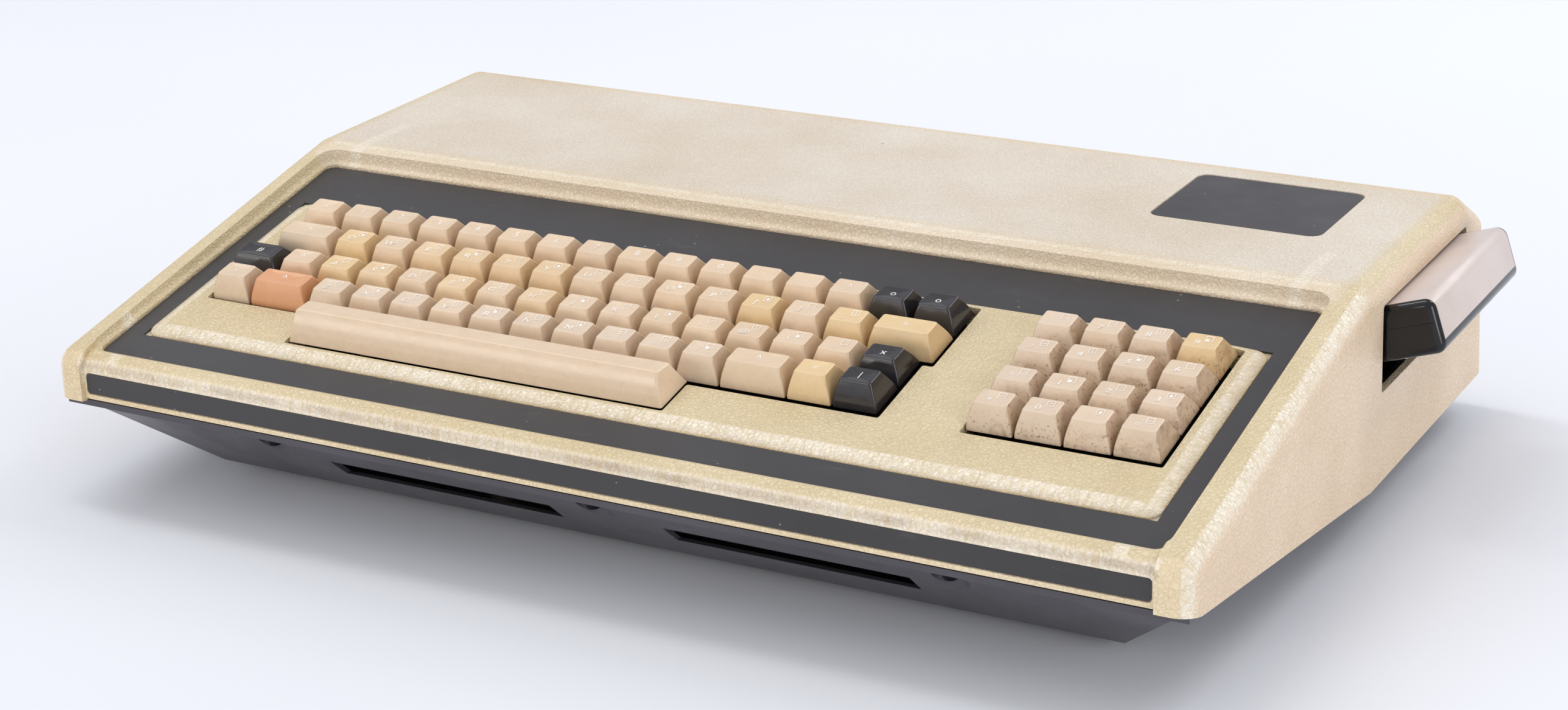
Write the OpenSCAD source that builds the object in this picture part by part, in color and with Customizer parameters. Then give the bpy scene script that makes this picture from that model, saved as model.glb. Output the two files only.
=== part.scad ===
// Vintage home computer: a wedge case with a full keyboard and number pad, a side cartridge,
// and the boards, power supply and rear sockets that it holds inside.
// Frame: X to the right, Y to the back, Z up, origin on the table under the middle of the whole
// computer with its cartridge in place, so the case itself stands a little to the left.
// All sizes are millimetres. On the keyboard slope, s runs up the slope and h stands square to it.

/* [Case] */
// Width of the case from side to side
case_width = 489; // [484:1:494]
// Wall of the moulded shell and the base pan
wall = 3; // [2.5:0.25:3.5]
// Radius of the case's upright corners
corner_radius = 9; // [6:1:11]
// Height of the raised island round the keys above the dark panel
island_rise = 2.2; // [1.5:0.1:3]
// Thickness of the dark panels that lie in the shell's recesses
panel_thick = 0.8; // [0.6:0.1:1]
// Height of the rubber feet
foot_height = 5; // [4:0.5:6]

/* [Keys] */
// Distance from key to key
key_pitch = 19.05; // [19:0.05:19.1]
// Gap between the skirts of two neighbouring keys
key_gap = 0.8; // [0.6:0.1:1.2]
// Width of a single key's top face
key_top_width = 12; // [11:0.5:13]
// Front to back size of a key's top face
key_top_depth = 8; // [7:0.5:9]
// How far a key goes down
key_travel = 3.8; // [3:0.1:3.8]
// Gap between the key skirts and the edge of the island's opening
opening_gap = 1.9; // [1.6:0.1:2]

/* [Cartridge] */
// Angle at which the cartridge rises out of the side
cartridge_tilt = 18; // [16:0.5:18]
// Width of the cartridge from front to back
cartridge_width = 98; // [94:0.5:99]
// Thickness of the cartridge
cartridge_thick = 21.9; // [20.5:0.1:22]
// Length of the cartridge
cartridge_length = 133; // [125:1:133]

/* [Rear] */
// How far the power rocker turns from one end to the other, degrees
rocker_swing = 20; // [12:1:24]
// Diameter of the cable hole in the mains gland
gland_bore = 8; // [6:0.5:9]

/* [Hidden] */
slope = 11.6;                // the keyboard slope
panel_y = -154.3;            // front edge of the dark panel
panel_z = 60.3;
panel_length = 162.3;
panel_half = case_width / 2 - 16;
half = case_width / 2;
front_y = -166;
rear_y = 166;
base_z = foot_height;
edge_z = 18;                 // lower edge of the shell along the rear half
edge_front_z = 43;           // lower edge of the shell at the front
edge_kink_y = 18;
deck_z = 102;                // flat top behind the keyboard
eps = 0.02;
side_shift = -11;            // brings the case and its cartridge over the origin
board_z = 24;                // underside of the main board

first_x = -193.4;            // middle of the first key in the number row
row_s = [115.2, 96.15, 77.1, 58.05];
row_top = [12.4, 12.1, 11.1, 12.4];
pad_u = 17.59;               // first column of the number pad, counted in keys
skirt_h = 0.6;               // lower edge of a key's skirt
cap_wall = 1.5;
bar_mid = -67.8;
bar_half = 86;
bar_front = 26.4;
bar_back = 48;
plate_top = -7.2;
plate_thick = 1.5;
housing_top = -2.5;
housing_width = 13.4;
stem_width = 4.6;
board_top = -14;
stem_low = -6;

wire_r = 0.8;                // the space bar's levelling wire
wire_s = 49.8;
wire_h = -4.4;
arm_length = 12;
arm_rise = 9.1;              // the arms' angle at rest
arm_x = 56;                  // the arms, from the middle of the bar

tilt_shift = -1.35;          // middle of the cartridge's thickness, square to its slide
cart_end = 277;              // outer end of the cartridge along its slide
cart_y0 = 80 - cartridge_width / 2;
slot_y0 = 28.5;
slot_y1 = 133;
slot_z0 = 55;
slot_z1 = 90;

// --- helpers ---

// Draws its children on the keyboard slope: X, s, h
module on_slope()
{
    translate([0, panel_y, panel_z]) rotate([slope, 0, 0]) children();
}

// Draws its children along the cartridge's slide: X is the way out
module on_slide()
{
    rotate([0, -cartridge_tilt, 0]) children();
}

// Extrudes a side view, drawn as (Y, Z), across X from x0 to x1
module across(x0, x1)
{
    translate([x0, 0, 0]) rotate([90, 0, 90]) linear_extrude(height = x1 - x0) children();
}

// Extrudes a front view, drawn as (X, Z), back from y0 to y1
module along(y0, y1)
{
    translate([0, y1, 0]) rotate([90, 0, 0]) linear_extrude(height = y1 - y0) children();
}

// Moves a finished sub-part with the case
module centred()
{
    translate([side_shift, 0, 0]) children();
}

// A box from one corner to the other
module box(a, b)
{
    translate(a) cube([b[0] - a[0], b[1] - a[1], b[2] - a[2]]);
}

// Points of an arc
function arc(x, y, r, a0, a1, n) =
    [for (i = [0:n]) [x + r * cos(a0 + (a1 - a0) * i / n), y + r * sin(a0 + (a1 - a0) * i / n)]];

// A rectangle with round corners, as points
function round_rect(x0, y0, x1, y1, r, n) = concat(
    arc(x1 - r, y0 + r, r, -90, 0, n),
    arc(x1 - r, y1 - r, r, 0, 90, n),
    arc(x0 + r, y1 - r, r, 90, 180, n),
    arc(x0 + r, y0 + r, r, 180, 270, n));

// --- top shell ---

// Side view of the shell's outside
module shell_side()
{
    polygon(concat(
        [[edge_kink_y, edge_z], [rear_y, edge_z]],
        arc(157, 84, 5, 5, 58, 3),
        arc(133, 93, 9, 58, 90, 3),
        arc(16, 97, 5, 90, 102, 2),
        arc(-157, 55.5, 9, 102, 180, 5),
        [[front_y, edge_front_z]]));
}

// Side view of the space inside the shell: under the panel on the slope, under the deck behind
module shell_space()
{
    t = wall;
    polygon([
        [edge_kink_y, edge_z - 40], [rear_y - t - 0.8, edge_z - 40],
        [rear_y - t - 0.8, edge_z], [160.5 - t, 85 - t], [133.5, deck_z - t - 0.2],
        [8.5 + t + 1, deck_z - t - 0.2], [4.7 + t + 1, 93.3 - t],
        [panel_y - 0.5, panel_z - t - 1.1], [front_y + t + 2, 54], [front_y + t + 2, 0]]);
}

// Front view of the outside, with the long top edges rounded
module rounded_section(top)
{
    r = 9;
    polygon(concat(
        [[-half, -110], [half, -110]],
        arc(half - r, top - r, r, 0, 90, 5),
        arc(-half + r, top - r, r, 90, 180, 5)));
}

module shell_outside()
{
    intersection() {
        across(-half, half) shell_side();
        translate([0, 0, -5]) linear_extrude(height = 130)
            polygon(round_rect(-half, front_y, half, rear_y, corner_radius, 5));
        union() {
            along(10, 170) rounded_section(deck_z);
            translate([0, -157, 64.4]) rotate([12.3, 0, 0]) along(-40, 185) rounded_section(0.2);
        }
    }
}

// Outline of the openings for the keys, drawn as (X, s)
module key_opening(g)
{
    x = [for (u = [-1, -0.75, -0.5, 15.25, 15.5]) first_x + u * key_pitch];
    polygon([
        [x[2] - g, 126.4], [x[4] + g, 126.4], [x[4] + g, 82.6],
        [x[3] + g + 0.5, 82.6], [x[3] + g + 0.5, 44.8],
        [bar_mid + bar_half + g, 44.8], [bar_mid + bar_half + g, bar_front - 1.5],
        [bar_mid - bar_half - g, bar_front - 1.5], [bar_mid - bar_half - g, 44.8],
        [x[1] - g, 44.8], [x[1] - g, 65.9], [x[0] - g + 0.2, 65.9],
        [x[0] - g + 0.2, 88.3], [x[2] - g, 88.3]]);
    translate([first_x + (pad_u - 0.5) * key_pitch - g + 0.6, 44.8])
        square([4 * key_pitch + 2 * g - 0.6, 126.4 - 44.8]);
}

// The raised island round the keys
module island()
{
    top = island_rise;
    low = -2;
    intersection() {
        across(-219, 219) polygon([
            [17.2, low], [130.2, low], [130.2, 0], [128.6, top], [24.3, top], [18.1, 0.2],
            [17.2, 0]]);
        along(0, 150) polygon([
            [-219, low], [219, low], [219, 0], [211.2, top], [-215.4, top], [-219, 0]]);
    }
}

// Where the front screws come up, and where the keyboard plate hangs, drawn as (X, s)
screw_x = [-147, 0, 147];
plate_posts = [[-210.5, 113], [-190, 36], [60, 36], [200, 36], [117, 80]];

module top_shell()
{
    color([0.87, 0.82, 0.72])
    centred()
    difference() {
        union() {
            difference() {
                shell_outside();
                across(-half + wall, half - wall) shell_space();
                // the dark panel's recess
                on_slope() box([-panel_half, 0, -panel_thick], [panel_half, panel_length, 30]);
                // the front strip's recess
                box([-panel_half, front_y - 1, 45.6], [panel_half, front_y + 1.6, 55]);
                // the badge plate's recess
                box([133, 62, deck_z - 0.9 - panel_thick / 4], [205, 122, deck_z + 5]);
            }
            on_slope() island();
            // screw pillars under the deck
            for (x = [-224, 224])
                translate([x, 138, edge_z + 0.1]) cylinder(h = 76, r = 5, $fn = 32);
            // short bosses over the front screws and over the keyboard plate
            for (x = screw_x) translate([x, -150, 41.5]) cylinder(h = 17, r = 4.5, $fn = 32);
            on_slope() for (p = plate_posts) translate([p[0], p[1], plate_top + eps])
                cylinder(h = 4.4, r = 3.4, $fn = 32);
        }
        on_slope() translate([0, 0, -20]) linear_extrude(height = 40) key_opening(opening_gap);
        // cartridge slot
        box([half - 20, slot_y0, slot_z0], [half + 5, slot_y1, slot_z1]);
        // opening for the rear panel
        box([-196, rear_y - 9, 21.5], [196, rear_y + 5, 62]);
        // holes for the rear screws
        for (x = [-224, 224]) translate([x, 138, edge_z - 1]) cylinder(h = 12, r = 1.9, $fn = 24);
        // and for the front ones
        for (x = screw_x) translate([x, -150, 40]) cylinder(h = 12, r = 1.9, $fn = 24);
    }
}

// --- dark trim ---

module keyboard_panel()
{
    color([0.28, 0.28, 0.29])
    centred()
    on_slope() difference() {
        translate([0, 0, -panel_thick + eps]) linear_extrude(height = panel_thick)
            polygon(round_rect(-panel_half + 0.3, 0.3, panel_half - 0.3, panel_length - 0.3, 4, 4));
        box([-219.3, 16.9, -3], [219.3, 130.5, 3]);
    }
}

module front_strip()
{
    color([0.28, 0.27, 0.29])
    centred()
    translate([0, front_y + 1.6 - eps, 0]) rotate([90, 0, 0]) linear_extrude(height = panel_thick)
        polygon(round_rect(-panel_half + 0.3, 46, panel_half - 0.3, 54.8, 1.5, 3));
}

module badge_plate()
{
    color([0.27, 0.27, 0.28])
    centred()
    translate([0, 0, deck_z - 0.9 - panel_thick / 4 + eps]) linear_extrude(height = panel_thick)
        polygon(round_rect(133.4, 62.4, 204.6, 121.6, 5, 5));
}

// --- base ---

// One layer of the tapered tub
module tub_layer(z, inset)
{
    w = 200 + (z - 5) * 1.03 - inset;
    f = -118 - (z - 5) * 1.14 + inset;
    translate([-w, f, z]) cube([2 * w, 160 - inset - f, 0.01]);
}

// Side view of what lies under the shell's lower edge
module under_edge(drop)
{
    polygon([
        [front_y - 10, edge_front_z + 1.45 - drop], [edge_kink_y, edge_z - drop],
        [rear_y + 10, edge_z - drop], [rear_y + 10, -10], [front_y - 10, -10]]);
}

module pan_outside()
{
    intersection() {
        hull() {
            tub_layer(base_z, 0);
            tub_layer(43.5, 0);
        }
        across(-half, half) under_edge(0.2);
    }
}

// The flange that follows the shell's lower edge
module flange()
{
    across(-half + 3.6, half - 3.6) intersection() {
        polygon([[front_y + 4.5, -5], [162, -5], [162, 60], [front_y + 4.5, 60]]);
        difference() {
            under_edge(0.2);
            under_edge(2.8);
        }
    }
}

module base_pan()
{
    color([0.31, 0.3, 0.32])
    centred()
    difference() {
        union() {
            difference() {
                union() {
                    pan_outside();
                    flange();
                }
                hull() {
                    tub_layer(base_z + wall, wall);
                    tub_layer(48, wall);
                }
            }
            // thick spots round the front screws
            intersection() {
                pan_outside();
                for (x = screw_x) translate([x, -150, 20]) cylinder(h = 30, r = 9.5, $fn = 48);
            }
        }
        // two long air slots in the sloping front
        for (x = [-76, 76]) box([x - 51, -165, 17.3], [x + 51, -118, 26.2]);
        // recesses and holes for the screws
        for (x = screw_x) translate([x, -150, 0]) {
            cylinder(h = 36.4, r = 7, $fn = 48);
            cylinder(h = 60, r = 2.2, $fn = 24);
        }
        for (x = [-224, 224]) translate([x, 138, 0]) cylinder(h = 30, r = 2.2, $fn = 24);
    }
}

module rubber_feet()
{
    color([0.1, 0.1, 0.1])
    centred()
    for (x = [-165, 165], y = [-92, 138])
        translate([x, y, 0]) cylinder(h = foot_height, r1 = 8, r2 = 9.5, $fn = 48);
}

module case_screws()
{
    color([0.5, 0.5, 0.52])
    centred()
    union() {
        for (x = [-224, 224]) translate([x, 138, 0]) {
            translate([0, 0, 12]) cylinder(h = 3.1, r = 4, $fn = 32);
            translate([0, 0, 15]) cylinder(h = 12, r = 1.8, $fn = 24);
        }
        for (x = screw_x) translate([x, -150, 0]) {
            translate([0, 0, 33.3]) cylinder(h = 3, r = 4, $fn = 32);
            translate([0, 0, 36.2]) cylinder(h = 14, r = 1.8, $fn = 24);
        }
    }
}

// --- keyboard frame, board and switches ---

// [middle in keys, width in keys, row] of every key but the space bar
number_row = [for (u = [0:15]) [u, 1, 0]];
upper_row = concat([[0.25, 1.5, 1]], [for (u = [1.5:1:13.5]) [u, 1, 1]], [[14.75, 1.5, 1]]);
middle_row = concat([[-0.375, 1.25, 2], [0.75, 1, 2]], [for (u = [1.75:1:14.75]) [u, 1, 2]]);
lower_row = concat([[-0.25, 1, 3], [1, 1.5, 3]], [for (u = [2.25:1:11.25]) [u, 1, 3]],
    [[12.5, 1.5, 3], [13.75, 1, 3], [14.75, 1, 3]]);
pad_keys = [for (r = [0:3], c = [0:3]) [pad_u + c, 1, r]];
all_keys = concat(number_row, upper_row, middle_row, lower_row, pad_keys);

function key_x(k) = first_x + k[0] * key_pitch;
function key_s(k) = row_s[k[2]];

module keyboard_plate()
{
    color([0.62, 0.63, 0.65])
    centred()
    on_slope() difference() {
        union() {
            box([-216, 28, plate_top - plate_thick], [213, 128, plate_top]);
            // cradles for the space bar's levelling wire
            for (x = [-36, 36]) translate([bar_mid + x, 0, 0])
                box([-2.5, 48.1, plate_top - 0.5], [2.5, 51.1, wire_h + 0.3]);
        }
        translate([bar_mid - 50, wire_s, wire_h]) rotate([0, 90, 0])
            cylinder(h = 100, r = wire_r + 0.06, $fn = 32);
        translate([bar_mid - 50, wire_s - wire_r + 0.1, wire_h]) cube([100, 2 * wire_r - 0.2, 4]);
        for (k = all_keys) translate([key_x(k), key_s(k), plate_top])
            cube([11.6, 11.6, 8], center = true);
        for (x = [-arm_x, 0, arm_x]) translate([bar_mid + x, 37.5, plate_top])
            cube([x == 0 ? 11.6 : 7, x == 0 ? 11.6 : 9, 8], center = true);
    }
}

module keyboard_board()
{
    color([0.12, 0.35, 0.2])
    centred()
    on_slope() box([-212, 30, board_top - 1.6], [210, 127, board_top]);
}

module switch_housing(x, s)
{
    translate([x, s, 0]) difference() {
        union() {
            translate([0, 0, (housing_top + plate_top) / 2 + eps])
                cube([housing_width, housing_width, housing_top - plate_top], center = true);
            translate([0, 0, (plate_top + board_top) / 2 + 0.1])
                cube([11, 11, plate_top - board_top], center = true);
        }
        translate([0, 0, -4]) cube([stem_width + 0.7, stem_width + 0.7, 17], center = true);
    }
}

module key_switches()
{
    color([0.16, 0.16, 0.17])
    centred()
    on_slope() {
        for (k = all_keys) switch_housing(key_x(k), key_s(k));
        switch_housing(bar_mid, 37.5);
    }
}

// The wire that keeps the space bar level: a long rod with an arm and a hook at each end
module bar_wire()
{
    color([0.7, 0.7, 0.72])
    centred()
    on_slope() union() {
        translate([bar_mid - arm_x, wire_s, wire_h]) rotate([0, 90, 0])
            cylinder(h = 2 * arm_x, r = wire_r, $fn = 24);
        for (m = [-1, 1]) translate([bar_mid + m * arm_x, wire_s, wire_h]) {
            sphere(r = wire_r + 0.08, $fn = 24);
            rotate([90 - arm_rise, 0, 0]) cylinder(h = arm_length, r = wire_r, $fn = 24);
        }
    }
}

// --- key caps ---

// A block with sloping sides: base and top as [x0, x1, s0, s1], from h = z0 to z1
module taper(base, top, z0, z1)
{
    intersection() {
        along(base[2] - 1, base[3] + 1) polygon([
            [base[0], z0], [base[1], z0], [top[1], z1], [top[0], z1]]);
        across(base[0] - 1, base[1] + 1) polygon([
            [base[2], z0], [base[3], z0], [top[3], z1], [top[2], z1]]);
    }
}

// One hollow cap with its stem
module cap(k)
{
    high = row_top[k[2]];
    w = k[1] * key_pitch / 2 - key_gap / 2;
    d = key_pitch / 2 - key_gap / 2;
    lean = d - key_top_width / 2;
    front = -5.8;
    back = front + key_top_depth;
    t = cap_wall;
    translate([key_x(k), key_s(k), 0]) union() {
        difference() {
            taper([-w, w, -d, d], [-w + lean, w - lean, front, back], skirt_h, high);
            taper([-w + t, w - t, -d + t, d - t],
                [-w + lean + 1, w - lean - 1, front + 1, back - 1], skirt_h - eps, high - 1.6);
        }
        translate([-stem_width / 2, -stem_width / 2, stem_low])
            cube([stem_width, stem_width, high - 1 - stem_low]);
    }
}

module caps(list)
{
    on_slope() for (k = list) cap(k);
}

cream = [0.85, 0.76, 0.65];
dark = [0.24, 0.23, 0.25];
function part_of(list, a, b) = [for (i = [a:b]) list[i]];

module number_keys_left()
{
    color(cream) centred() caps(part_of(number_row, 0, 4));
}

module number_keys_middle()
{
    color(cream) centred() caps(part_of(number_row, 5, 9));
}

module number_keys_right()
{
    color(cream) centred() caps(part_of(number_row, 10, 13));
}

module reset_keys()
{
    color(dark) centred() caps(part_of(number_row, 14, 15));
}

module tab_key()
{
    color(cream) centred() caps(part_of(upper_row, 0, 0));
}

module upper_keys_left()
{
    color(cream) centred() caps(part_of(upper_row, 1, 4));
}

module upper_keys_middle()
{
    color(cream) centred() caps(part_of(upper_row, 5, 9));
}

module upper_keys_right()
{
    color(cream) centred() caps(part_of(upper_row, 10, 13));
}

module return_key()
{
    color([0.87, 0.74, 0.57]) centred() caps(part_of(upper_row, 14, 14));
}

module graphic_key()
{
    color(dark) centred() caps(part_of(middle_row, 0, 0));
}

module control_key()
{
    color(cream) centred() caps(part_of(middle_row, 1, 1));
}

module middle_keys_left()
{
    color(cream) centred() caps(part_of(middle_row, 2, 5));
}

module middle_keys_middle()
{
    color(cream) centred() caps(part_of(middle_row, 6, 10));
}

module middle_keys_right()
{
    color(cream) centred() caps(part_of(middle_row, 11, 14));
}

module clear_key()
{
    color(dark) centred() caps(part_of(middle_row, 15, 15));
}

module lock_key()
{
    color(cream) centred() caps(part_of(lower_row, 0, 0));
}

module left_shift_key()
{
    color([0.84, 0.64, 0.47]) centred() caps(part_of(lower_row, 1, 1));
}

module lower_keys_left()
{
    color(cream) centred() caps(part_of(lower_row, 2, 6));
}

module lower_keys_right()
{
    color(cream) centred() caps(part_of(lower_row, 7, 11));
}

module right_shift_key()
{
    color(cream) centred() caps(part_of(lower_row, 12, 12));
}

module repeat_key()
{
    color([0.88, 0.75, 0.58]) centred() caps(part_of(lower_row, 13, 13));
}

module stop_key()
{
    color(dark) centred() caps(part_of(lower_row, 14, 14));
}

module pad_keys_row_1()
{
    color(cream) centred() caps(part_of(pad_keys, 0, 3));
}

module pad_keys_row_2()
{
    color(cream) centred() caps(part_of(pad_keys, 4, 7));
}

module pad_keys_row_3()
{
    color(cream) centred() caps(part_of(pad_keys, 8, 11));
}

module pad_keys_row_4()
{
    color(cream) centred() caps(part_of(pad_keys, 12, 15));
}

// The long bar: a tall front, a narrow top and leaning ends, hollow underneath
module space_bar()
{
    color(cream)
    centred()
    on_slope() difference() {
        union() {
            difference() {
                intersection() {
                    across(bar_mid - bar_half, bar_mid + bar_half) polygon([
                        [bar_front, skirt_h], [bar_back, skirt_h], [41.2, 13.4], [32.4, 14.4],
                        [29.2, 9.6], [27.4, 5]]);
                    translate([bar_mid, 0, 0]) along(20, 55) polygon([
                        [-bar_half, skirt_h], [bar_half, skirt_h], [bar_half - 3.4, 16],
                        [-bar_half + 3.4, 16]]);
                }
                intersection() {
                    across(bar_mid - bar_half, bar_mid + bar_half) polygon([
                        [bar_front + 1.6, skirt_h - 1], [bar_back - 1.6, skirt_h - 1],
                        [bar_back - 1.6, skirt_h], [40, 11.8], [33.2, 12.7], [29, 5]]);
                    translate([bar_mid, 0, 0]) along(20, 55) polygon([
                        [-bar_half + 1.6, skirt_h - 1], [bar_half - 1.6, skirt_h - 1],
                        [bar_half - 5, 15], [-bar_half + 5, 15]]);
                }
            }
            translate([bar_mid, 37.5, 0]) translate([-stem_width / 2, -stem_width / 2, stem_low])
                cube([stem_width, stem_width, 12.6 - stem_low]);
            // two lugs that take the levelling wire's ends
            for (m = [-1, 1]) translate([bar_mid + m * arm_x, 38, 0])
                box([-2.5, -2, -5], [2.5, 2.4, 13]);
        }
        // the wire's end lies in this slot
        for (m = [-1, 1]) translate([bar_mid + m * arm_x, 38, -2.5])
            box([-1.2, -4, -1.55], [1.2, 4, 1.55]);
    }
}

// --- cartridge ---

module cartridge_shell()
{
    color([0.07, 0.07, 0.08])
    centred()
    on_slide() difference() {
        translate([0, cart_y0 + cartridge_width, tilt_shift]) rotate([90, 0, 0])
            linear_extrude(height = cartridge_width) polygon(round_rect(
            cart_end - cartridge_length, -cartridge_thick / 2, cart_end, cartridge_thick / 2, 4, 5));
        // mouth that the socket reaches into
        box([cart_end - cartridge_length - 1, cart_y0 + 12, tilt_shift - 6],
            [cart_end - cartridge_length + 24, cart_y0 + cartridge_width - 12, tilt_shift + 6]);
    }
}

module cartridge_label()
{
    e = cart_end;
    t = cartridge_thick / 2;
    color([0.85, 0.79, 0.76])
    centred()
    on_slide() translate([0, cart_y0 + cartridge_width - 4, tilt_shift]) rotate([90, 0, 0])
        linear_extrude(height = cartridge_width - 7) polygon(concat(
            [[e + eps, -t + 5]], [[e + 0.35, -t + 5]],
            arc(e - 4, t - 4, 4.35, 0, 90, 5), [[e - 34, t + 0.35], [e - 34, t + eps]],
            arc(e - 4, t - 4, 4.02, 90, 0, 5)));
}

module cartridge_board()
{
    color([0.15, 0.4, 0.22])
    centred()
    on_slide() {
        box([cart_end - cartridge_length + 4, cart_y0 + 20, tilt_shift - 0.8],
            [cart_end - cartridge_length + 24 - eps, cart_y0 + cartridge_width - 20, tilt_shift + 0.8]);
    }
}

// Socket that the cartridge's board slides into
module cartridge_socket()
{
    a = cart_end - cartridge_length;
    color([0.1, 0.12, 0.2])
    centred()
    difference() {
        union() {
            on_slide() box([a - 12, cart_y0 + 15, tilt_shift - 4.5],
                [a + 16, cart_y0 + cartridge_width - 15, tilt_shift + 4.5]);
            box([122.5, cart_y0 + 18, board_z + 1.65], [128.5, cart_y0 + cartridge_width - 18, 41]);
        }
        on_slide() box([a + 2, cart_y0 + 18.5, tilt_shift - 1.3],
            [a + 17, cart_y0 + cartridge_width - 18.5, tilt_shift + 1.3]);
    }
}

// Tray under and beside the cartridge
module cartridge_guide()
{
    a = cart_end - cartridge_length;
    t = cartridge_thick / 2;
    color([0.55, 0.56, 0.58])
    centred()
    union() {
        on_slide() difference() {
            box([a + 22, cart_y0 - 2.4, tilt_shift - t - 2.4],
                [246, cart_y0 + cartridge_width + 2.4, tilt_shift + 3]);
            box([a - 10, cart_y0 - 0.6, tilt_shift - t - 0.6],
                [260, cart_y0 + cartridge_width + 0.6, tilt_shift + 20]);
        }
        for (y = [cart_y0 - 2.4, cart_y0 + cartridge_width + 0.6])
            box([176, y, 8.1], [196, y + 1.8, 52]);
    }
}

// --- boards and power supply ---

module main_board()
{
    color([0.1, 0.33, 0.18])
    centred()
    difference() {
        union() {
            box([-90, -92, board_z], [172, 146, board_z + 1.6]);
            // card edge that reaches out through the rear panel
            box([30, 145, board_z], [98, 164, board_z + 1.6]);
        }
        for (x = [-84, 166], y = [-86, 136]) translate([x, y, board_z - 4])
            cylinder(h = 10, r = 1.6, $fn = 24);
    }
}

module board_posts()
{
    low = base_z + wall + eps;
    color([0.75, 0.72, 0.6])
    centred()
    for (x = [-84, 166], y = [-86, 136]) translate([x, y, 0]) {
        translate([0, 0, low]) cylinder(h = board_z - low - eps, r = 3.5, $fn = 32);
        translate([0, 0, low]) cylinder(h = board_z + 2 - low, r = 1.5, $fn = 24);
        translate([0, 0, board_z + 1.6 + eps]) cylinder(h = 2.4, r = 3, $fn = 32);
    }
}

module board_chips()
{
    color([0.12, 0.12, 0.13])
    centred()
    translate([0, 0, board_z + 1.6 + eps]) {
        // memory and logic chips in rows
        for (x = [0:6], y = [0:6])
            translate([-78 + 27 * x, -80 + 15 * y, 0]) cube([19.5, 7, 4]);
        // the processor and three ports
        for (y = [0:3]) translate([-78, 36 + 22 * y, 0]) cube([51.5, 14, 4.6]);
        for (x = [0:2], y = [0:3]) translate([-10 + 36 * x, 36 + 22 * y, 0]) cube([30, 8, 4]);
    }
}

module board_parts()
{
    color([0.8, 0.6, 0.25])
    centred()
    translate([0, 0, board_z + 1.6 + eps]) {
        for (x = [0:6], y = [0:5])
            translate([-56 + 27 * x, -76 + 15 * y, 0]) cylinder(h = 4.5, r = 1.9, $fn = 20);
        translate([136, -70, 0]) cylinder(h = 18, r = 6.5, $fn = 32);
        translate([136, -48, 0]) cylinder(h = 18, r = 6.5, $fn = 32);
        translate([150, -20, 0]) cube([8, 44, 9]);
    }
}

module transformer_core()
{
    color([0.32, 0.32, 0.34])
    centred()
    difference() {
        union() {
            box([-196, 62, 18], [-126, 100, 76]);
            box([-199.5, 66, base_z + wall + eps], [-119, 96, base_z + wall + 2]);
            box([-198, 66, base_z + wall + eps], [-124, 96, 18.1]);
        }
        for (x = [-184, -149]) box([x, 50, 30], [x + 11, 110, 64]);
    }
}

module transformer_coil()
{
    color([0.75, 0.62, 0.3])
    centred()
    difference() {
        box([-183.6, 54, 30.4], [-138.4, 108, 63.6]);
        box([-173.2, 61.8, 20], [-148.8, 100.2, 90]);
    }
}

module filter_capacitors()
{
    color([0.2, 0.3, 0.55])
    centred()
    for (y = [20, -22]) translate([-176, y, base_z + wall + eps]) cylinder(h = 56, r = 17.5, $fn = 64);
}

module heat_sink()
{
    color([0.2, 0.2, 0.21])
    centred()
    union() {
        box([-118, 60, base_z + wall + eps], [-112, 136, 60]);
        for (i = [0:6]) box([-112.1, 61 + 11 * i, base_z + wall + eps], [-98, 62.6 + 11 * i, 60]);
    }
}

module regulators()
{
    color([0.7, 0.7, 0.72])
    centred()
    for (y = [70, 108]) translate([-118 - eps, y + 12, 40]) rotate([0, -90, 0]) {
        cylinder(h = 1.8, r = 12, $fn = 48);
        cylinder(h = 7.5, r = 9.5, $fn = 48);
    }
}

// --- rear ---

module rear_panel()
{
    color([0.2, 0.2, 0.21])
    centred()
    difference() {
        box([-200, 157, edge_z + 0.1], [200, 158.6, 66]);
        // sockets for printer and serial lines
        for (x = [112, 40]) box([x - 21, 150, 37], [x + 21, 170, 50]);
        for (x = [-10, -32, -54]) translate([x, 164, 43]) rotate([90, 0, 0])
            cylinder(h = 12, r = 4.2, $fn = 32);
        // fuse, power rocker, mains gland
        translate([-88, 164, 43]) rotate([90, 0, 0]) cylinder(h = 12, r = 6.3, $fn = 32);
        box([-132.6, 150, 32.4], [-115.4, 170, 53.6]);
        translate([-165, 164, 43]) rotate([90, 0, 0]) cylinder(h = 12, r = 7.3, $fn = 32);
        // card edge
        box([28, 150, board_z - 1.5], [100, 170, board_z + 3.5]);
    }
}

module data_sockets()
{
    color([0.72, 0.73, 0.75])
    centred()
    for (x = [112, 40]) {
        difference() {
            union() {
                box([x - 26.5, 158.6 + eps, 37.3], [x + 26.5, 159.6, 49.7]);
                box([x - 19.5, 150, 38.6], [x + 19.5, 164.4, 48.4]);
            }
            box([x - 18.6, 160, 39.5], [x + 18.6, 170, 47.5]);
        }
        for (i = [0:12]) translate([x - 16.6 + i * 2.766, 163.6, 45]) rotate([90, 0, 0])
            cylinder(h = 4, r = 0.55, $fn = 16);
    }
}

module phono_sockets()
{
    color([0.75, 0.72, 0.62])
    centred()
    for (x = [-10, -32, -54]) translate([x, 0, 43]) rotate([-90, 0, 0]) difference() {
        union() {
            translate([0, 0, 158.6 + eps]) cylinder(h = 1.4, r = 7, $fn = 32);
            translate([0, 0, 150]) cylinder(h = 15, r = 4.1, $fn = 32);
        }
        translate([0, 0, 158.5]) cylinder(h = 10, r = 1.7, $fn = 24);
    }
}

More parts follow.
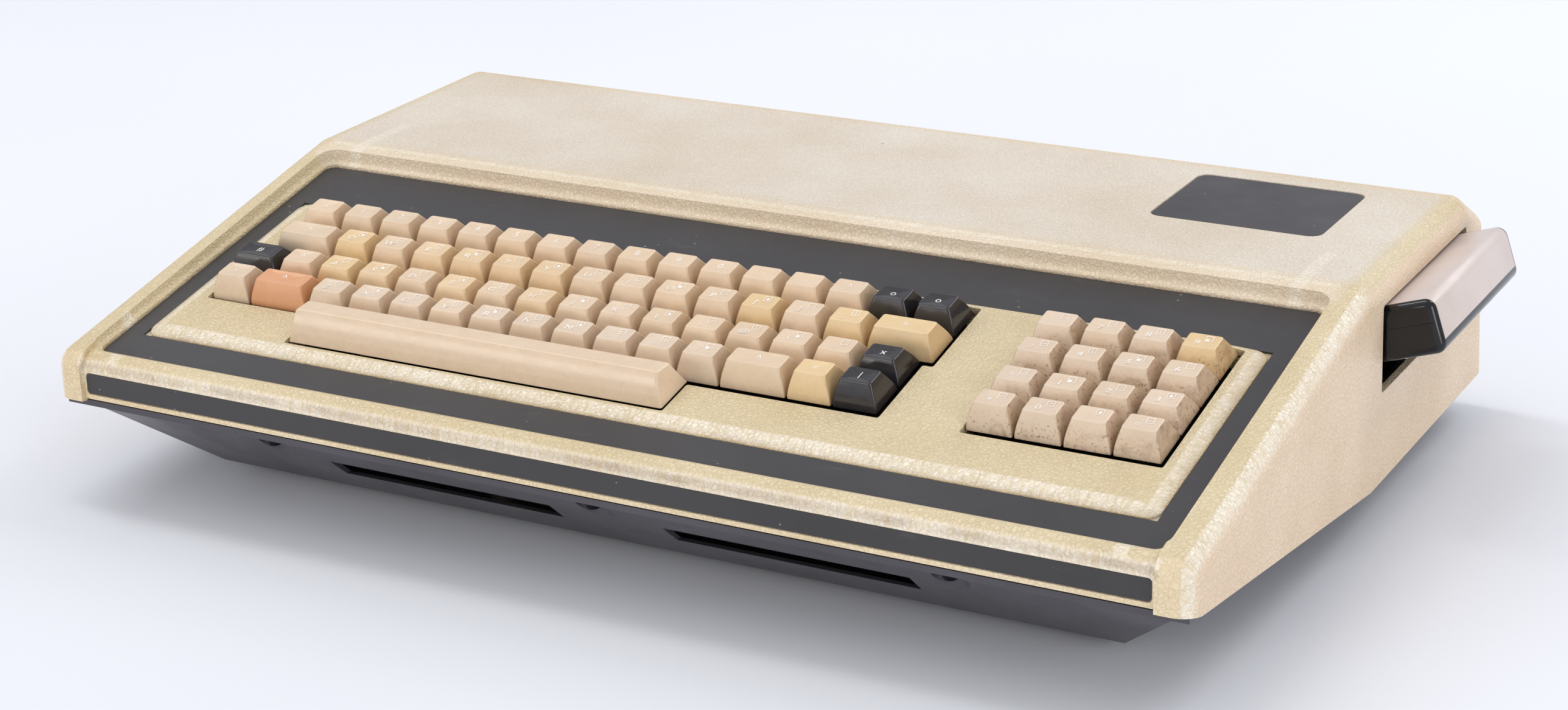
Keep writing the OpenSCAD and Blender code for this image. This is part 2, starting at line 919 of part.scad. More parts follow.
module fuse_holder()
{
    color([0.08, 0.08, 0.09])
    centred()
    translate([-88, 0, 43]) rotate([-90, 0, 0]) difference() {
        union() {
            translate([0, 0, 158.6 + eps]) cylinder(h = 6, r = 8.2, $fn = 48);
            translate([0, 0, 132]) cylinder(h = 27, r = 6.2, $fn = 32);
        }
        translate([-6, -0.8, 163.4]) cube([12, 1.6, 3]);
    }
}

module switch_frame()
{
    color([0.06, 0.06, 0.07])
    centred()
    difference() {
        union() {
            box([-134.5, 158.6 + eps, 30.5], [-113.5, 160.4, 55.5]);
            box([-132.5, 140, 32.6], [-115.5, 158.8, 53.4]);
        }
        box([-130.6, 147.5, 34], [-117.4, 170, 52]);
        translate([-135, 154, 43]) rotate([0, 90, 0]) cylinder(h = 22, r = 1.6, $fn = 24);
    }
}

// The rocker turns on a pin across the switch frame, and rests at its first end
module power_rocker()
{
    color([0.55, 0.1, 0.08])
    centred()
    translate([-124, 154, 43]) rotate([rocker_swing / 2, 0, 0]) {
        intersection() {
            rotate([0, 90, 0]) cylinder(h = 12.4, r = 9.4, center = true, $fn = 48);
            box([-6.2, -3.6, -7.8], [6.2, 8.6, 7.8]);
        }
        rotate([0, 90, 0]) cylinder(h = 16.4, r = 1.54, center = true, $fn = 24);
    }
}

module cord_gland()
{
    color([0.05, 0.05, 0.06])
    centred()
    translate([-165, 0, 43]) rotate([-90, 0, 0]) difference() {
        union() {
            translate([0, 0, 158.6 + eps]) cylinder(h = 4, r = 9.5, $fn = 48);
            translate([0, 0, 149]) cylinder(h = 10, r = 7.2, $fn = 48);
        }
        translate([0, 0, 140]) cylinder(h = 30, r = gland_bore / 2, $fn = 48);
    }
}

top_shell();
keyboard_panel();
front_strip();
badge_plate();
base_pan();
rubber_feet();
case_screws();
keyboard_plate();
keyboard_board();
key_switches();
bar_wire();
number_keys_left();
number_keys_middle();
number_keys_right();
reset_keys();
tab_key();
upper_keys_left();
upper_keys_middle();
upper_keys_right();
return_key();
graphic_key();
control_key();
middle_keys_left();
middle_keys_middle();
middle_keys_right();
clear_key();
lock_key();
left_shift_key();
lower_keys_left();
lower_keys_right();
right_shift_key();
repeat_key();
stop_key();
pad_keys_row_1();
pad_keys_row_2();
pad_keys_row_3();
pad_keys_row_4();
space_bar();
cartridge_shell();
cartridge_label();
cartridge_board();
cartridge_socket();
cartridge_guide();
main_board();
board_posts();
board_chips();
board_parts();
transformer_core();
transformer_coil();
filter_capacitors();
heat_sink();
regulators();
rear_panel();
data_sockets();
phono_sockets();
fuse_holder();
switch_frame();
power_rocker();
cord_gland();
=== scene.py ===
import functools
import math
import random
import bpy
import bmesh
from mathutils import Matrix, Vector


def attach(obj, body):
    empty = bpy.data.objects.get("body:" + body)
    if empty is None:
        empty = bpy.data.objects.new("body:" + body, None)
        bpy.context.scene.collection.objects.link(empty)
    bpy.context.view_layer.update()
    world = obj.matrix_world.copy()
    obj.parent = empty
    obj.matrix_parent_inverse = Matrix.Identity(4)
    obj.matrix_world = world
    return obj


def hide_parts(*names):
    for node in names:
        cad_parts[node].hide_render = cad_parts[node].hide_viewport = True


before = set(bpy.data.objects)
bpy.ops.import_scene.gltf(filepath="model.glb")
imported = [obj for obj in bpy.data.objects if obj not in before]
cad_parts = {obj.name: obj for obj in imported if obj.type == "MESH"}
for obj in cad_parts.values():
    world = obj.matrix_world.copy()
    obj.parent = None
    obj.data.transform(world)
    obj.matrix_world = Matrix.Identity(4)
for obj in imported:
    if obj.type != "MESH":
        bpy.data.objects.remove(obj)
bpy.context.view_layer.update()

sideShift = -11.0  # mm, the case stands this far left of the origin
slopeTurn = math.radians(11.6)
slopeCos, slopeSin = math.cos(slopeTurn), math.sin(slopeTurn)

# ---- camera, solved from the key rows of the photograph ----
view = {"place": (0.567795, -1.043194, 0.493625), "right": (0.878706, 0.476668, -0.025747),
        "up": (-0.147719, 0.322805, 0.934867), "lens": 71.379}
cameraData = bpy.data.cameras.new("camera")
cameraData.lens, cameraData.sensor_width, cameraData.sensor_fit = view["lens"], 36.0, "HORIZONTAL"
cameraData.clip_start, cameraData.clip_end = 0.05, 30.0
camera = bpy.data.objects.new("camera", cameraData)
bpy.context.collection.objects.link(camera)
right, up = Vector(view["right"]), Vector(view["up"])
turn = Matrix((right, up, right.cross(up))).transposed()
camera.matrix_world = Matrix.Translation(view["place"]) @ turn.to_4x4()
bpy.context.scene.camera = camera
print("camera ready")


# ---- small helpers ----
def linear(hexColour, alpha=1.0):
    # sRGB hex to the linear colour that the shaders use
    out = []
    for i in (1, 3, 5):
        c = int(hexColour[i:i + 2], 16) / 255.0
        out.append(c / 12.92 if c <= 0.04045 else ((c + 0.055) / 1.055) ** 2.4)
    return (*out, alpha)


def addNode(tree, kind, links=None, out=0, stops=None, **settings):
    # one node with its settings, and its output; links holds socket: value or another node's output
    node = tree.nodes.new(kind if kind.startswith(("Geometry", "Node")) else "ShaderNode" + kind)
    for name, value in settings.items():
        setattr(node, name, value)
    for name, values in (links or {}).items():
        for value in values if isinstance(values, list) else [values]:
            if isinstance(value, bpy.types.NodeSocket):
                tree.links.new(value, node.inputs[name])
            else:
                node.inputs[name].default_value = value
    for i, (place, value) in enumerate(stops or []):
        band = node.color_ramp.elements
        element = band[i] if i < len(band) else band.new(place)
        element.position = place
        element.color = linear(value) if isinstance(value, str) else (value, value, value, 1.0)
    return node if out is None else node.outputs[out]


def startMaterial(name):
    # an empty node material, the call that adds its nodes, and its Object coordinates
    material = bpy.data.materials.new(name)
    material.use_nodes = True
    material.node_tree.nodes.clear()
    add = functools.partial(addNode, material.node_tree)
    return material, add, add("TexCoord", out="Object")


def endMaterial(material, add, base, rough, relief, more):
    # rough is (pattern, smoothest, roughest) and relief is (pattern, height in metres, strength)
    wear = add("MapRange", {"Value": rough[0], "From Min": 0.3, "From Max": 0.7, "To Min": rough[1],
                            "To Max": rough[2]})
    normal = add("Bump", {"Height": relief[0], "Distance": relief[1], "Strength": relief[2]})
    shader = add("BsdfPrincipled", {"Base Color": base, "Roughness": wear, "Normal": normal,
                                    **more})
    add("OutputMaterial", {"Surface": shader}, out=None)
    return material


# ---- materials; noise and cell scales are written as 1000 / size in mm ----
def texturedAbs():
    # Cream ABS moulded in a leather-grained tool and yellowed by light: creased relief that breaks
    # the light on every rounded edge, pinker on deck and sides, greener yellow round the keys.
    # The creases are drawn 1.9 mm apart, coarser than the real 1 to 1.5 mm, so that they show
    look = {"deck": "#E8DED1", "yellow": "#E2D2AE", "chamfer": "#E8D5B4", "side": "#EFD9BF",
            "front": "#EEDDBC", "fascia": "#EEDFC9", "dirt": "#8A6B48", "speck": "#6B5238",
            "paintedHighlight": "#FBF3E4", "grainMm": 1.9, "grainDepth": 0.00036, "rough": 0.34}
    material, add, at = startMaterial("texturedAbsCream")
    axis = add("SeparateXYZ", {"Vector": at}, out=None).outputs
    across = add("Math", {0: axis[0], 1: -sideShift / 1000}, operation="ADD")
    across = add("Math", {0: across}, operation="ABSOLUTE")
    # the side walls lean in by 1.2 degrees: the same distance, measured square to the wall's line
    lean = add("Math", {0: axis[2], 1: 0.021, 2: across}, operation="MULTIPLY_ADD")
    height = add("VectorMath", {0: at, 1: (0, -slopeSin, slopeCos)}, out="Value",
                 operation="DOT_PRODUCT")
    # along is the distance up the slope
    along = add("VectorMath", {0: at, 1: (0, slopeCos, slopeSin)}, out="Value",
                operation="DOT_PRODUCT")
    start = slopeSin * 0.0603 - slopeCos * 0.1543
    level = slopeSin * 0.1543 + slopeCos * 0.0603  # the dark panel's height, measured the same way
    base, masks = linear(look["deck"]), {}
    for name, source, low, high in (
            ("yellow", axis[1], 0.021, 0.008), ("edge", across, 0.2300, 0.2375),
            ("chamfer", axis[1], 0.127, 0.137), ("side", lean, 0.2415, 0.2440),
            ("fascia", along, start + 0.1560, start + 0.1630),
            ("front", axis[1], -0.1610, -0.1632), ("above", height, level + 0.0015, level + 0.0001),
            ("below", height, level - 0.0030, level - 0.0008), ("inner", across, 0.2318, 0.2300)):
        masks[name] = add("MapRange", {"Value": source, "From Min": low, "From Max": high},
                          interpolation_type="SMOOTHSTEP")
    masks["fascia"] = add("Math", {0: masks["fascia"], 1: masks["yellow"]}, operation="MULTIPLY")
    for mask, colour in (("yellow", "yellow"), ("fascia", "fascia"), ("edge", "yellow"),
                         ("chamfer", "chamfer"), ("side", "side"), ("front", "front")):
        base = add("Mix", {0: masks[mask], 6: base, 7: linear(look[colour])}, out=2,
                   data_type="RGBA")
    # painted highlight: the edges are painted paler in short strokes across the edge, as the
    # light's glint on the island's front bevel, the crests of the front ridge and of the step
    # behind the panel, the island's ends and the rims; the same bands are also smoother, as edges
    # rubbed by hands
    strokes = []
    for scale in ((1.0, 0.2, 0.2), (0.2, 1.0, 0.6)):
        marks = add("Mapping", {"Vector": at, "Scale": scale})
        marks = add("TexNoise", {"Vector": marks, "Scale": 1000 / 1.5, "Detail": 3.0,
                                 "Roughness": 0.7})
        strokes.append(add("MapRange", {"Value": marks, "From Min": 0.38, "From Max": 0.56,
                                        "To Min": 0.3}))
    onIsland = add("MapRange", {"Value": height, "From Min": level + 0.0002,
                                "From Max": level + 0.0008})
    polishAndHighlight = 0.0
    for source, low, high, strength, marks, where in (
            (along, start + 0.0180, start + 0.0243, 0.9, strokes[0], masks["inner"]),
            (along, start - 0.0114, start - 0.0080, 1.0, strokes[0], masks["inner"]),
            (along, start + 0.1705, start + 0.1730, 0.7, strokes[0], masks["inner"]),
            (across, 0.2130, 0.2182, 0.8, strokes[1], onIsland),
            (lean, 0.2400, 0.2440, 1.0, strokes[1], masks["yellow"])):
        rise = add("MapRange", {"Value": source, "From Min": low - 0.0006, "From Max": low + 0.0006,
                                "To Max": strength}, interpolation_type="SMOOTHSTEP")
        fall = add("MapRange", {"Value": source, "From Min": high + 0.0007,
                                "From Max": high - 0.0007}, interpolation_type="SMOOTHSTEP")
        for factor in (fall, marks, where):
            rise = add("Math", {0: rise, 1: factor}, operation="MULTIPLY")
        polishAndHighlight = add("Math", {0: rise, 1: polishAndHighlight}, operation="MAXIMUM")
    # painted highlight: the glinting bands take the paler colour here
    base = add("Mix", {0: polishAndHighlight, 6: base, 7: linear(look["paintedHighlight"])}, out=2, data_type="RGBA")
    # uneven yellowing, in patches of 40 to 110 mm
    for sizeMm, low in ((110, "#F5F1E9"), (38, "#F8F5F0")):
        patches = add("TexNoise", {"Vector": at, "Scale": 1000 / sizeMm, "Detail": 4.0})
        patches = add("ValToRGB", {"Fac": patches}, stops=[(0.32, low), (0.66, "#FFFFFF")])
        base = add("Mix", {0: 1.0, 6: base, 7: patches}, out=2, data_type="RGBA",
                   blend_type="MULTIPLY")
    # brown dirt that has settled where the rim and the island meet the dark panel
    grime = add("TexNoise", {"Vector": at, "Scale": 1000 / 17, "Detail": 4.0, "Roughness": 0.6})
    grime = add("MapRange", {"Value": grime, "From Min": 0.3, "From Max": 0.75, "To Min": 0.12,
                             "To Max": 0.55})
    for name in ("above", "below", "inner", "yellow"):
        grime = add("Math", {0: grime, 1: masks[name]}, operation="MULTIPLY")
    base = add("Mix", {0: grime, 6: base, 7: linear(look["dirt"])}, out=2, data_type="RGBA")
    # a few dark specks, gathered in places
    specks = add("TexVoronoi", {"Vector": at, "Scale": 1000 / 16}, out="Distance")
    specks = add("MapRange", {"Value": specks, "From Min": 0.05, "From Max": 0.02, "To Max": 0.75})
    where = add("TexNoise", {"Vector": at, "Scale": 1000 / 70, "Detail": 2.0})
    where = add("MapRange", {"Value": where, "From Min": 0.54, "From Max": 0.6})
    specks = add("Math", {0: specks, 1: where}, operation="MULTIPLY")
    base = add("Mix", {0: specks, 6: base, 7: linear(look["speck"])}, out=2, data_type="RGBA")
    # leather grain: bent cells whose borders are creases, over fine pores and a slow waviness
    bend = add("TexNoise", {"Vector": at, "Scale": 1000 / (look["grainMm"] * 1.6), "Detail": 3.0},
               out="Color")
    bend = add("VectorMath", {0: bend, "Scale": look["grainMm"] * 0.0013}, operation="SCALE")
    bent = add("VectorMath", {0: at, 1: bend}, operation="ADD")
    crease = add("TexVoronoi", {"Vector": bent, "Scale": 1000 / look["grainMm"]},
                 feature="DISTANCE_TO_EDGE")
    crease = add("MapRange", {"Value": crease, "From Min": 0.0, "From Max": 0.22},
                 interpolation_type="SMOOTHSTEP")
    pores = add("TexNoise", {"Vector": bent, "Scale": 1000 / (look["grainMm"] * 0.5), "Detail": 3.0,
                             "Roughness": 0.6})
    relief = add("Math", {0: crease, 1: 0.5, 2: pores}, operation="MULTIPLY_ADD")
    # painted shade: the creases and pores of the grain are painted a little darker
    shade = add("ValToRGB", {"Fac": relief}, stops=[(0.45, "#F6F3EC"), (0.8, "#FFFFFF")])
    base = add("Mix", {0: 1.0, 6: base, 7: shade}, out=2, data_type="RGBA", blend_type="MULTIPLY")
    waves = add("TexNoise", {"Vector": at, "Scale": 1000 / 18, "Detail": 2.0})
    waves = add("Bump", {"Height": waves, "Distance": 0.0006, "Strength": 0.5})
    normal = add("Bump", {"Height": relief, "Distance": look["grainDepth"], "Normal": waves})
    rough = add("MapRange", {"Value": relief, "From Min": 0.4, "From Max": 0.9,
                             "To Min": look["rough"] + 0.12, "To Max": look["rough"] - 0.04})
    rough = add("Mix", {0: polishAndHighlight, 2: rough, 3: 0.2}, data_type="FLOAT")
    shader = add("BsdfPrincipled", {"Base Color": base, "Roughness": rough, "Normal": normal,
                                    "IOR": 1.53})
    add("OutputMaterial", {"Surface": shader}, out=None)
    return material


def speckledPlastic(name, colours, rough, grainMm, depth, dust, dustMm):
    # Dark moulded plastic or printed sheet: cloudy grey, a fine matt grain and pale dust specks
    material, add, at = startMaterial(name)
    clouds = add("TexNoise", {"Vector": at, "Scale": 1000 / 55, "Detail": 5.0, "Roughness": 0.6})
    base = add("ValToRGB", {"Fac": clouds}, stops=[(0.3, colours[0]), (0.7, colours[1])])
    wiped = add("Mapping", {"Vector": at, "Scale": (1.0, 6.0, 6.0)})
    wiped = add("TexNoise", {"Vector": wiped, "Scale": 1000 / 33, "Detail": 6.0, "Roughness": 0.7})
    wiped = add("MapRange", {"Value": wiped, "From Min": 0.6, "From Max": 0.8, "To Max": 0.16})
    base = add("Mix", {0: wiped, 6: base, 7: linear("#8E8A86")}, out=2, data_type="RGBA")
    specks = add("TexVoronoi", {"Vector": at, "Scale": 1000 / dustMm}, out="Distance")
    specks = add("MapRange", {"Value": specks, "From Min": 0.1, "From Max": 0.045, "To Max": dust})
    where = add("TexNoise", {"Vector": at, "Scale": 1000 / (dustMm * 2.9), "Detail": 2.0})
    where = add("MapRange", {"Value": where, "From Min": 0.54, "From Max": 0.66})
    specks = add("Math", {0: specks, 1: where}, operation="MULTIPLY")
    base = add("Mix", {0: specks, 6: base, 7: linear("#B9B4AC")}, out=2, data_type="RGBA")
    patches = add("TexNoise", {"Vector": at, "Scale": 1000 / 20, "Detail": 4.0})
    grain = add("TexNoise", {"Vector": at, "Scale": 1000 / grainMm, "Detail": 3.0})
    return endMaterial(material, add, base, (patches, rough, rough + 0.12), (grain, depth, 0.6),
                       {"IOR": 1.5})


def keyAbs(name, rough, grimeColour, grime):
    # Moulded key plastic: satin, with faint grime in specks low on the caps; the colour of each
    # cap comes from its own tint attribute, because they have yellowed unevenly, and this attribute
    # also holds painted shade, darker on the side walls of each cap
    material, add, at = startMaterial(name)
    base = add("Attribute", out="Color", attribute_name="tint")
    tone = add("TexNoise", {"Vector": at, "Scale": 1000 / 8, "Detail": 4.0, "Roughness": 0.6})
    tone = add("ValToRGB", {"Fac": tone}, stops=[(0.3, "#FAF7F3"), (0.7, "#FFFFFF")])
    base = add("Mix", {0: 1.0, 6: base, 7: tone}, out=2, data_type="RGBA", blend_type="MULTIPLY")
    dirt = add("Attribute", out="Fac", attribute_name="dirt")
    spots = []
    for sizeMm, low, high in ((1.3, 0.56, 0.66), (6.6, 0.52, 0.8)):
        spot = add("TexNoise", {"Vector": at, "Scale": 1000 / sizeMm, "Detail": 3.0,
                                "Roughness": 0.65})
        spots.append(add("MapRange", {"Value": spot, "From Min": low, "From Max": high,
                                      "To Max": grime}))
    spots = add("Math", {0: spots[0], 1: spots[1]}, operation="MAXIMUM")
    spots = add("Math", {0: spots, 1: dirt}, operation="MULTIPLY")
    base = add("Mix", {0: spots, 6: base, 7: linear(grimeColour)}, out=2, data_type="RGBA")
    wear = add("TexNoise", {"Vector": at, "Scale": 1000 / 4, "Detail": 3.0})
    grain = add("TexNoise", {"Vector": at, "Scale": 1000 / 0.8, "Detail": 2.0})
    return endMaterial(material, add, base, (wear, rough - 0.05, rough + 0.08),
                       (grain, 0.00003, 0.5), {"IOR": 1.53})


def mouldedPlastic(name, colours, rough, grainMm=0.6, depth=0.00004, coat=0.0):
    # A moulded or printed surface of one colour: faint mottling, and a fine grain from the tool
    material, add, at = startMaterial(name)
    clouds = add("TexNoise", {"Vector": at, "Scale": 1000 / 22, "Detail": 5.0, "Roughness": 0.6})
    base = add("ValToRGB", {"Fac": clouds}, stops=[(0.3, colours[0]), (0.7, colours[1])])
    wear = add("TexNoise", {"Vector": at, "Scale": 1000 / 8, "Detail": 4.0})
    grain = add("TexNoise", {"Vector": at, "Scale": 1000 / grainMm, "Detail": 2.0})
    return endMaterial(material, add, base, (wear, rough, rough + 0.1), (grain, depth, 0.6),
                       {"IOR": 1.5, "Coat Weight": coat})


def rolledMetal(name, colours, rough, brush=(1.0, 30.0, 30.0), depth=0.00003):
    # Rolled or drawn metal, plated: fine lines along one way, and a cloudy plating
    material, add, at = startMaterial(name)
    clouds = add("TexNoise", {"Vector": at, "Scale": 1000 / 17, "Detail": 5.0, "Roughness": 0.65})
    base = add("ValToRGB", {"Fac": clouds}, stops=[(0.3, colours[0]), (0.7, colours[1])])
    lines = add("Mapping", {"Vector": at, "Scale": brush})
    lines = add("TexNoise", {"Vector": lines, "Scale": 1000 / 11, "Detail": 4.0, "Roughness": 0.7})
    return endMaterial(material, add, base, (lines, rough, rough + 0.16), (lines, depth, 0.5),
                       {"Metallic": 1.0})


def glassEpoxyBoard():
    # Glass-epoxy board under solder resist: green gloss with paler tracks along both ways
    look = {"dark": "#0F4A2A", "green": "#15562F", "track": "#3C7D44", "pitchMm": 2.54}
    material, add, at = startMaterial("glassEpoxyBoard")
    axis = add("SeparateXYZ", {"Vector": at}, out=None).outputs
    gate = add("TexVoronoi", {"Vector": at, "Scale": 1000 / 26}, out="Color", distance="MANHATTAN")
    gate = add("MapRange", {"Value": gate, "From Min": 0.45, "From Max": 0.5})
    tracks = []
    for way in (0, 1):
        wave = add("Math", {0: axis[way], 1: 1000 / look["pitchMm"]}, operation="MULTIPLY")
        wave = add("Math", {0: wave, 1: 0.5}, operation="PINGPONG")
        wave = add("MapRange", {"Value": wave, "From Min": 0.36, "From Max": 0.42})
        tracks.append(add("Math", {0: wave, 1: gate}, operation="MULTIPLY"))
    copper = add("Math", {0: tracks[0], 1: tracks[1]}, operation="MAXIMUM")
    clouds = add("TexNoise", {"Vector": at, "Scale": 1000 / 33, "Detail": 4.0})
    base = add("ValToRGB", {"Fac": clouds}, stops=[(0.3, look["dark"]), (0.7, look["green"])])
    base = add("Mix", {0: copper, 6: base, 7: linear(look["track"])}, out=2, data_type="RGBA")
    return endMaterial(material, add, base, (clouds, 0.3, 0.42), (copper, 0.00006, 0.6),
                       {"IOR": 1.55, "Coat Weight": 0.3})


def bandedWinding(name, colours, axisAt, pitchMm, metallic, depth, coat):
    # Tape wound round a coil, or a stack of varnished iron sheets: even bands along one axis
    material, add, at = startMaterial(name)
    axis = add("SeparateXYZ", {"Vector": at}, out=None).outputs
    bands = add("Math", {0: axis[axisAt], 1: 1000 / pitchMm}, operation="MULTIPLY")
    bands = add("Math", {0: bands, 1: 1.0}, operation="PINGPONG")
    base = add("ValToRGB", {"Fac": bands}, stops=list(zip((0.0, 0.12, 1.0), colours)))
    wear = add("TexNoise", {"Vector": at, "Scale": 1000 / 12, "Detail": 3.0})
    return endMaterial(material, add, base, (wear, 0.28, 0.45), (bands, depth, 0.6),
                       {"Metallic": metallic, "Coat Weight": coat})


def wrinklePaint():
    # Black wrinkle paint on sheet steel: fine ridged relief that breaks up the light
    material, add, at = startMaterial("wrinklePaintBlack")
    ridges = add("TexVoronoi", {"Vector": at, "Scale": 1000 / 1.1}, feature="SMOOTH_F1")
    base = add("ValToRGB", {"Fac": ridges}, stops=[(0.1, "#161618"), (0.6, "#2A2A2C")])
    wear = add("TexNoise", {"Vector": at, "Scale": 1000 / 17, "Detail": 3.0})
    return endMaterial(material, add, base, (wear, 0.42, 0.55), (ridges, 0.0002, 0.8), {"IOR": 1.5})


finish = {
    "case": texturedAbs(),
    # printed sheet of panel and strip: flat dark grey with pale dust
    "panel": speckledPlastic("printedSheetGrey", ("#312F31", "#393739"), 0.42, 0.7, 0.00003,
                             0.75, 4.8),
    # base pan of structural foam: darker, with a coarser sparkle and a soft sheen
    "base": speckledPlastic("structuralFoamGrey", ("#424046", "#4F4C53"), 0.26, 0.9, 0.00005,
                            0.5, 6.2),
    "keyCream": keyAbs("keyAbsCream", 0.27, "#7A4E30", 0.85),
    "keyDark": keyAbs("keyAbsDark", 0.16, "#8A8078", 0.3),
    "ink": mouldedPlastic("legendInkPale", ("#EEE3D7", "#FBF6EF"), 0.4, 1.1),
    "inkDark": mouldedPlastic("legendInkWhite", ("#D2CDC5", "#F4F0EA"), 0.4, 1.1),
    # polished black styrene of the cartridge: deep gloss with a clear reflection
    "cartridge": mouldedPlastic("polishedStyreneBlack", ("#07080A", "#0B0C0F"), 0.1, 3.0, 0.00002),
    # satin film of its label, faded to a pale pinkish cream, left bare
    "label": mouldedPlastic("satinFilmPale", ("#CDBEB6", "#D5C7C0"), 0.34, 2.2, 0.00003, 0.15),
    "board": glassEpoxyBoard(), "paint": wrinklePaint(),
    # polyester tape round the coils: glossy amber; varnished sheets of the core: thin dark lines
    "tape": bandedWinding("woundTapeAmber", ("#A8781F", "#C79A3A", "#B98A2C"), 2, 6.0, 0.0,
                          0.0002, 0.4),
    "iron": bandedWinding("stackedIronSheets", ("#2E2E32", "#4A4A50", "#55555C"), 1, 1.0, 0.6,
                          0.00015, 0.0),
    # moulded rubber: dull, faintly dusty
    "rubber": mouldedPlastic("mouldedRubberBlack", ("#161616", "#242322"), 0.7, 0.8, 0.00008),
    # black moulded fittings: semi-gloss
    "fitting": mouldedPlastic("mouldedNylonBlack", ("#101012", "#19191B"), 0.25, 0.9),
    "rocker": mouldedPlastic("mouldedRockerRed", ("#7A120E", "#8E1A14"), 0.2, 1.5, 0.00002, 0.3),
    "chip": mouldedPlastic("mouldedEpoxyBlack", ("#151517", "#222224"), 0.5, 0.3, 0.00005),
    "socket": mouldedPlastic("mouldedPhenolicBlue", ("#16203A", "#1F2A48"), 0.4, 0.8),
    "nylon": mouldedPlastic("naturalNylon", ("#C9BE9E", "#D8CFB4"), 0.45, 1.2),
    "tan": mouldedPlastic("dippedCeramicTan", ("#B07A35", "#C9914A"), 0.3, 1.2),
    "sleeve": mouldedPlastic("shrinkSleeveBlue", ("#1C3A78", "#264A90"), 0.25, 4.0, 0.00005, 0.3),
    # painted shade: the sheet under the keys is made near black, so that almost no light comes back
    # from between them
    "plate": mouldedPlastic("shadeBlackSheet", ("#060607", "#0B0B0C"), 0.6, 1.0),
    # screws of blackened steel: dark, with a faint blue sheen
    "screw": rolledMetal("blackenedSteel", ("#1B1B1F", "#2A2A30"), 0.32, (1.0, 1.0, 1.0)),
    # zinc-plated steel: bright with a faint cloudiness
    "steel": rolledMetal("zincPlatedSteel", ("#A9ABB0", "#C4C6CA"), 0.26),
    "sheet": rolledMetal("rolledSteelSheet", ("#8E9095", "#A6A8AC"), 0.32),
    "tin": rolledMetal("tinPlatedSteel", ("#B9BABD", "#D0D1D3"), 0.22),
    "brass": rolledMetal("nickelledBrass", ("#B3AA8A", "#CFC7A8"), 0.24),
    "anodised": rolledMetal("blackAnodisedAluminium", ("#26262A", "#34343A"), 0.35,
                            (30.0, 1.0, 1.0)),
}
print("materials ready")


# ---- mesh helpers ----
def place(x, y, z):
    # case millimetres to row metres
    return Vector(((x + sideShift) / 1000.0, y / 1000.0, z / 1000.0))


def onSlope(x, s, h):
    # slope millimetres (across, up the slope, square to it) to row metres
    return place(x, -154.3 + slopeCos * s - slopeSin * h, 60.3 + slopeSin * s + slopeCos * h)


def makeObject(name, vertices, faces, material=None, smooth=35.0):
    mesh = bpy.data.meshes.new(name)
    mesh.from_pydata([tuple(v) for v in vertices], [], faces)
    mesh.update()
    piece = bpy.data.objects.new(name, mesh)
    bpy.context.collection.objects.link(piece)
    return dress(piece, material, smooth)


def dress(piece, material, smooth=35.0):
    if material is not None:
        piece.data.materials.clear()
        piece.data.materials.append(material)
    if smooth:
        piece.data.shade_smooth()
        piece.data.set_sharp_from_angle(angle=math.radians(smooth))
    return piece


def loft(rings):
    # closed rings of equal length, joined by quads, with flat ends
    count = len(rings[0])
    vertices = [v for ring in rings for v in ring]
    faces = []
    for a in range(0, (len(rings) - 1) * count, count):
        for i in range(count):
            j = (i + 1) % count
            faces.append((a + i, a + j, a + count + j, a + count + i))
    faces.append(tuple(reversed(range(count))))
    faces.append(tuple(range((len(rings) - 1) * count, len(rings) * count)))
    return vertices, faces


def outward(piece):
    # all faces of each closed shell point out
    work = bmesh.new()
    work.from_mesh(piece.data)
    bmesh.ops.recalc_face_normals(work, faces=work.faces)
    work.to_mesh(piece.data)
    work.free()
    return piece


def roundRect(x0, y0, x1, y1, r, n=5):
    points = []
    for cx, cy, start in ((x1 - r, y0 + r, -90), (x1 - r, y1 - r, 0), (x0 + r, y1 - r, 90),
                          (x0 + r, y0 + r, 180)):
        for i in range(n + 1):
            a = math.radians(start + 90.0 * i / n)
            points.append((cx + r * math.cos(a), cy + r * math.sin(a)))
    return points


def arcBetween(a, b, c, r, n):
    # n + 1 points of the arc of radius r that rounds the corner b
    a, b, c = Vector(a), Vector(b), Vector(c)
    u, v = (a - b).normalized(), (c - b).normalized()
    half = math.acos(max(-1.0, min(1.0, u.dot(v)))) / 2.0
    centre = b + (u + v).normalized() * (r / math.sin(half))
    p, q = b + u * (r / math.tan(half)), b + v * (r / math.tan(half))
    start = math.atan2(p.y - centre.y, p.x - centre.x)
    sweep = math.atan2(q.y - centre.y, q.x - centre.x) - start
    sweep = (sweep + math.pi) % (2 * math.pi) - math.pi
    turns = [start + sweep * i / n for i in range(n + 1)]
    return [(centre.x + r * math.cos(t), centre.y + r * math.sin(t)) for t in turns]


def filletPath(corners, radii, n):
    # corner points to a path with arcs; the first and last corner stay sharp
    points = [corners[0]]
    for k in range(1, len(corners) - 1):
        points += arcBetween(*corners[k - 1:k + 2], max(radii[k - 1], 0.02), n[k - 1])
    return points + [corners[-1]]


def meet(p, d, q, e):
    # where the line through p along d meets the line through q along e
    cross = d[0] * e[1] - d[1] * e[0]
    t = ((q[0] - p[0]) * e[1] - (q[1] - p[1]) * e[0]) / cross
    return (p[0] + d[0] * t, p[1] + d[1] * t)


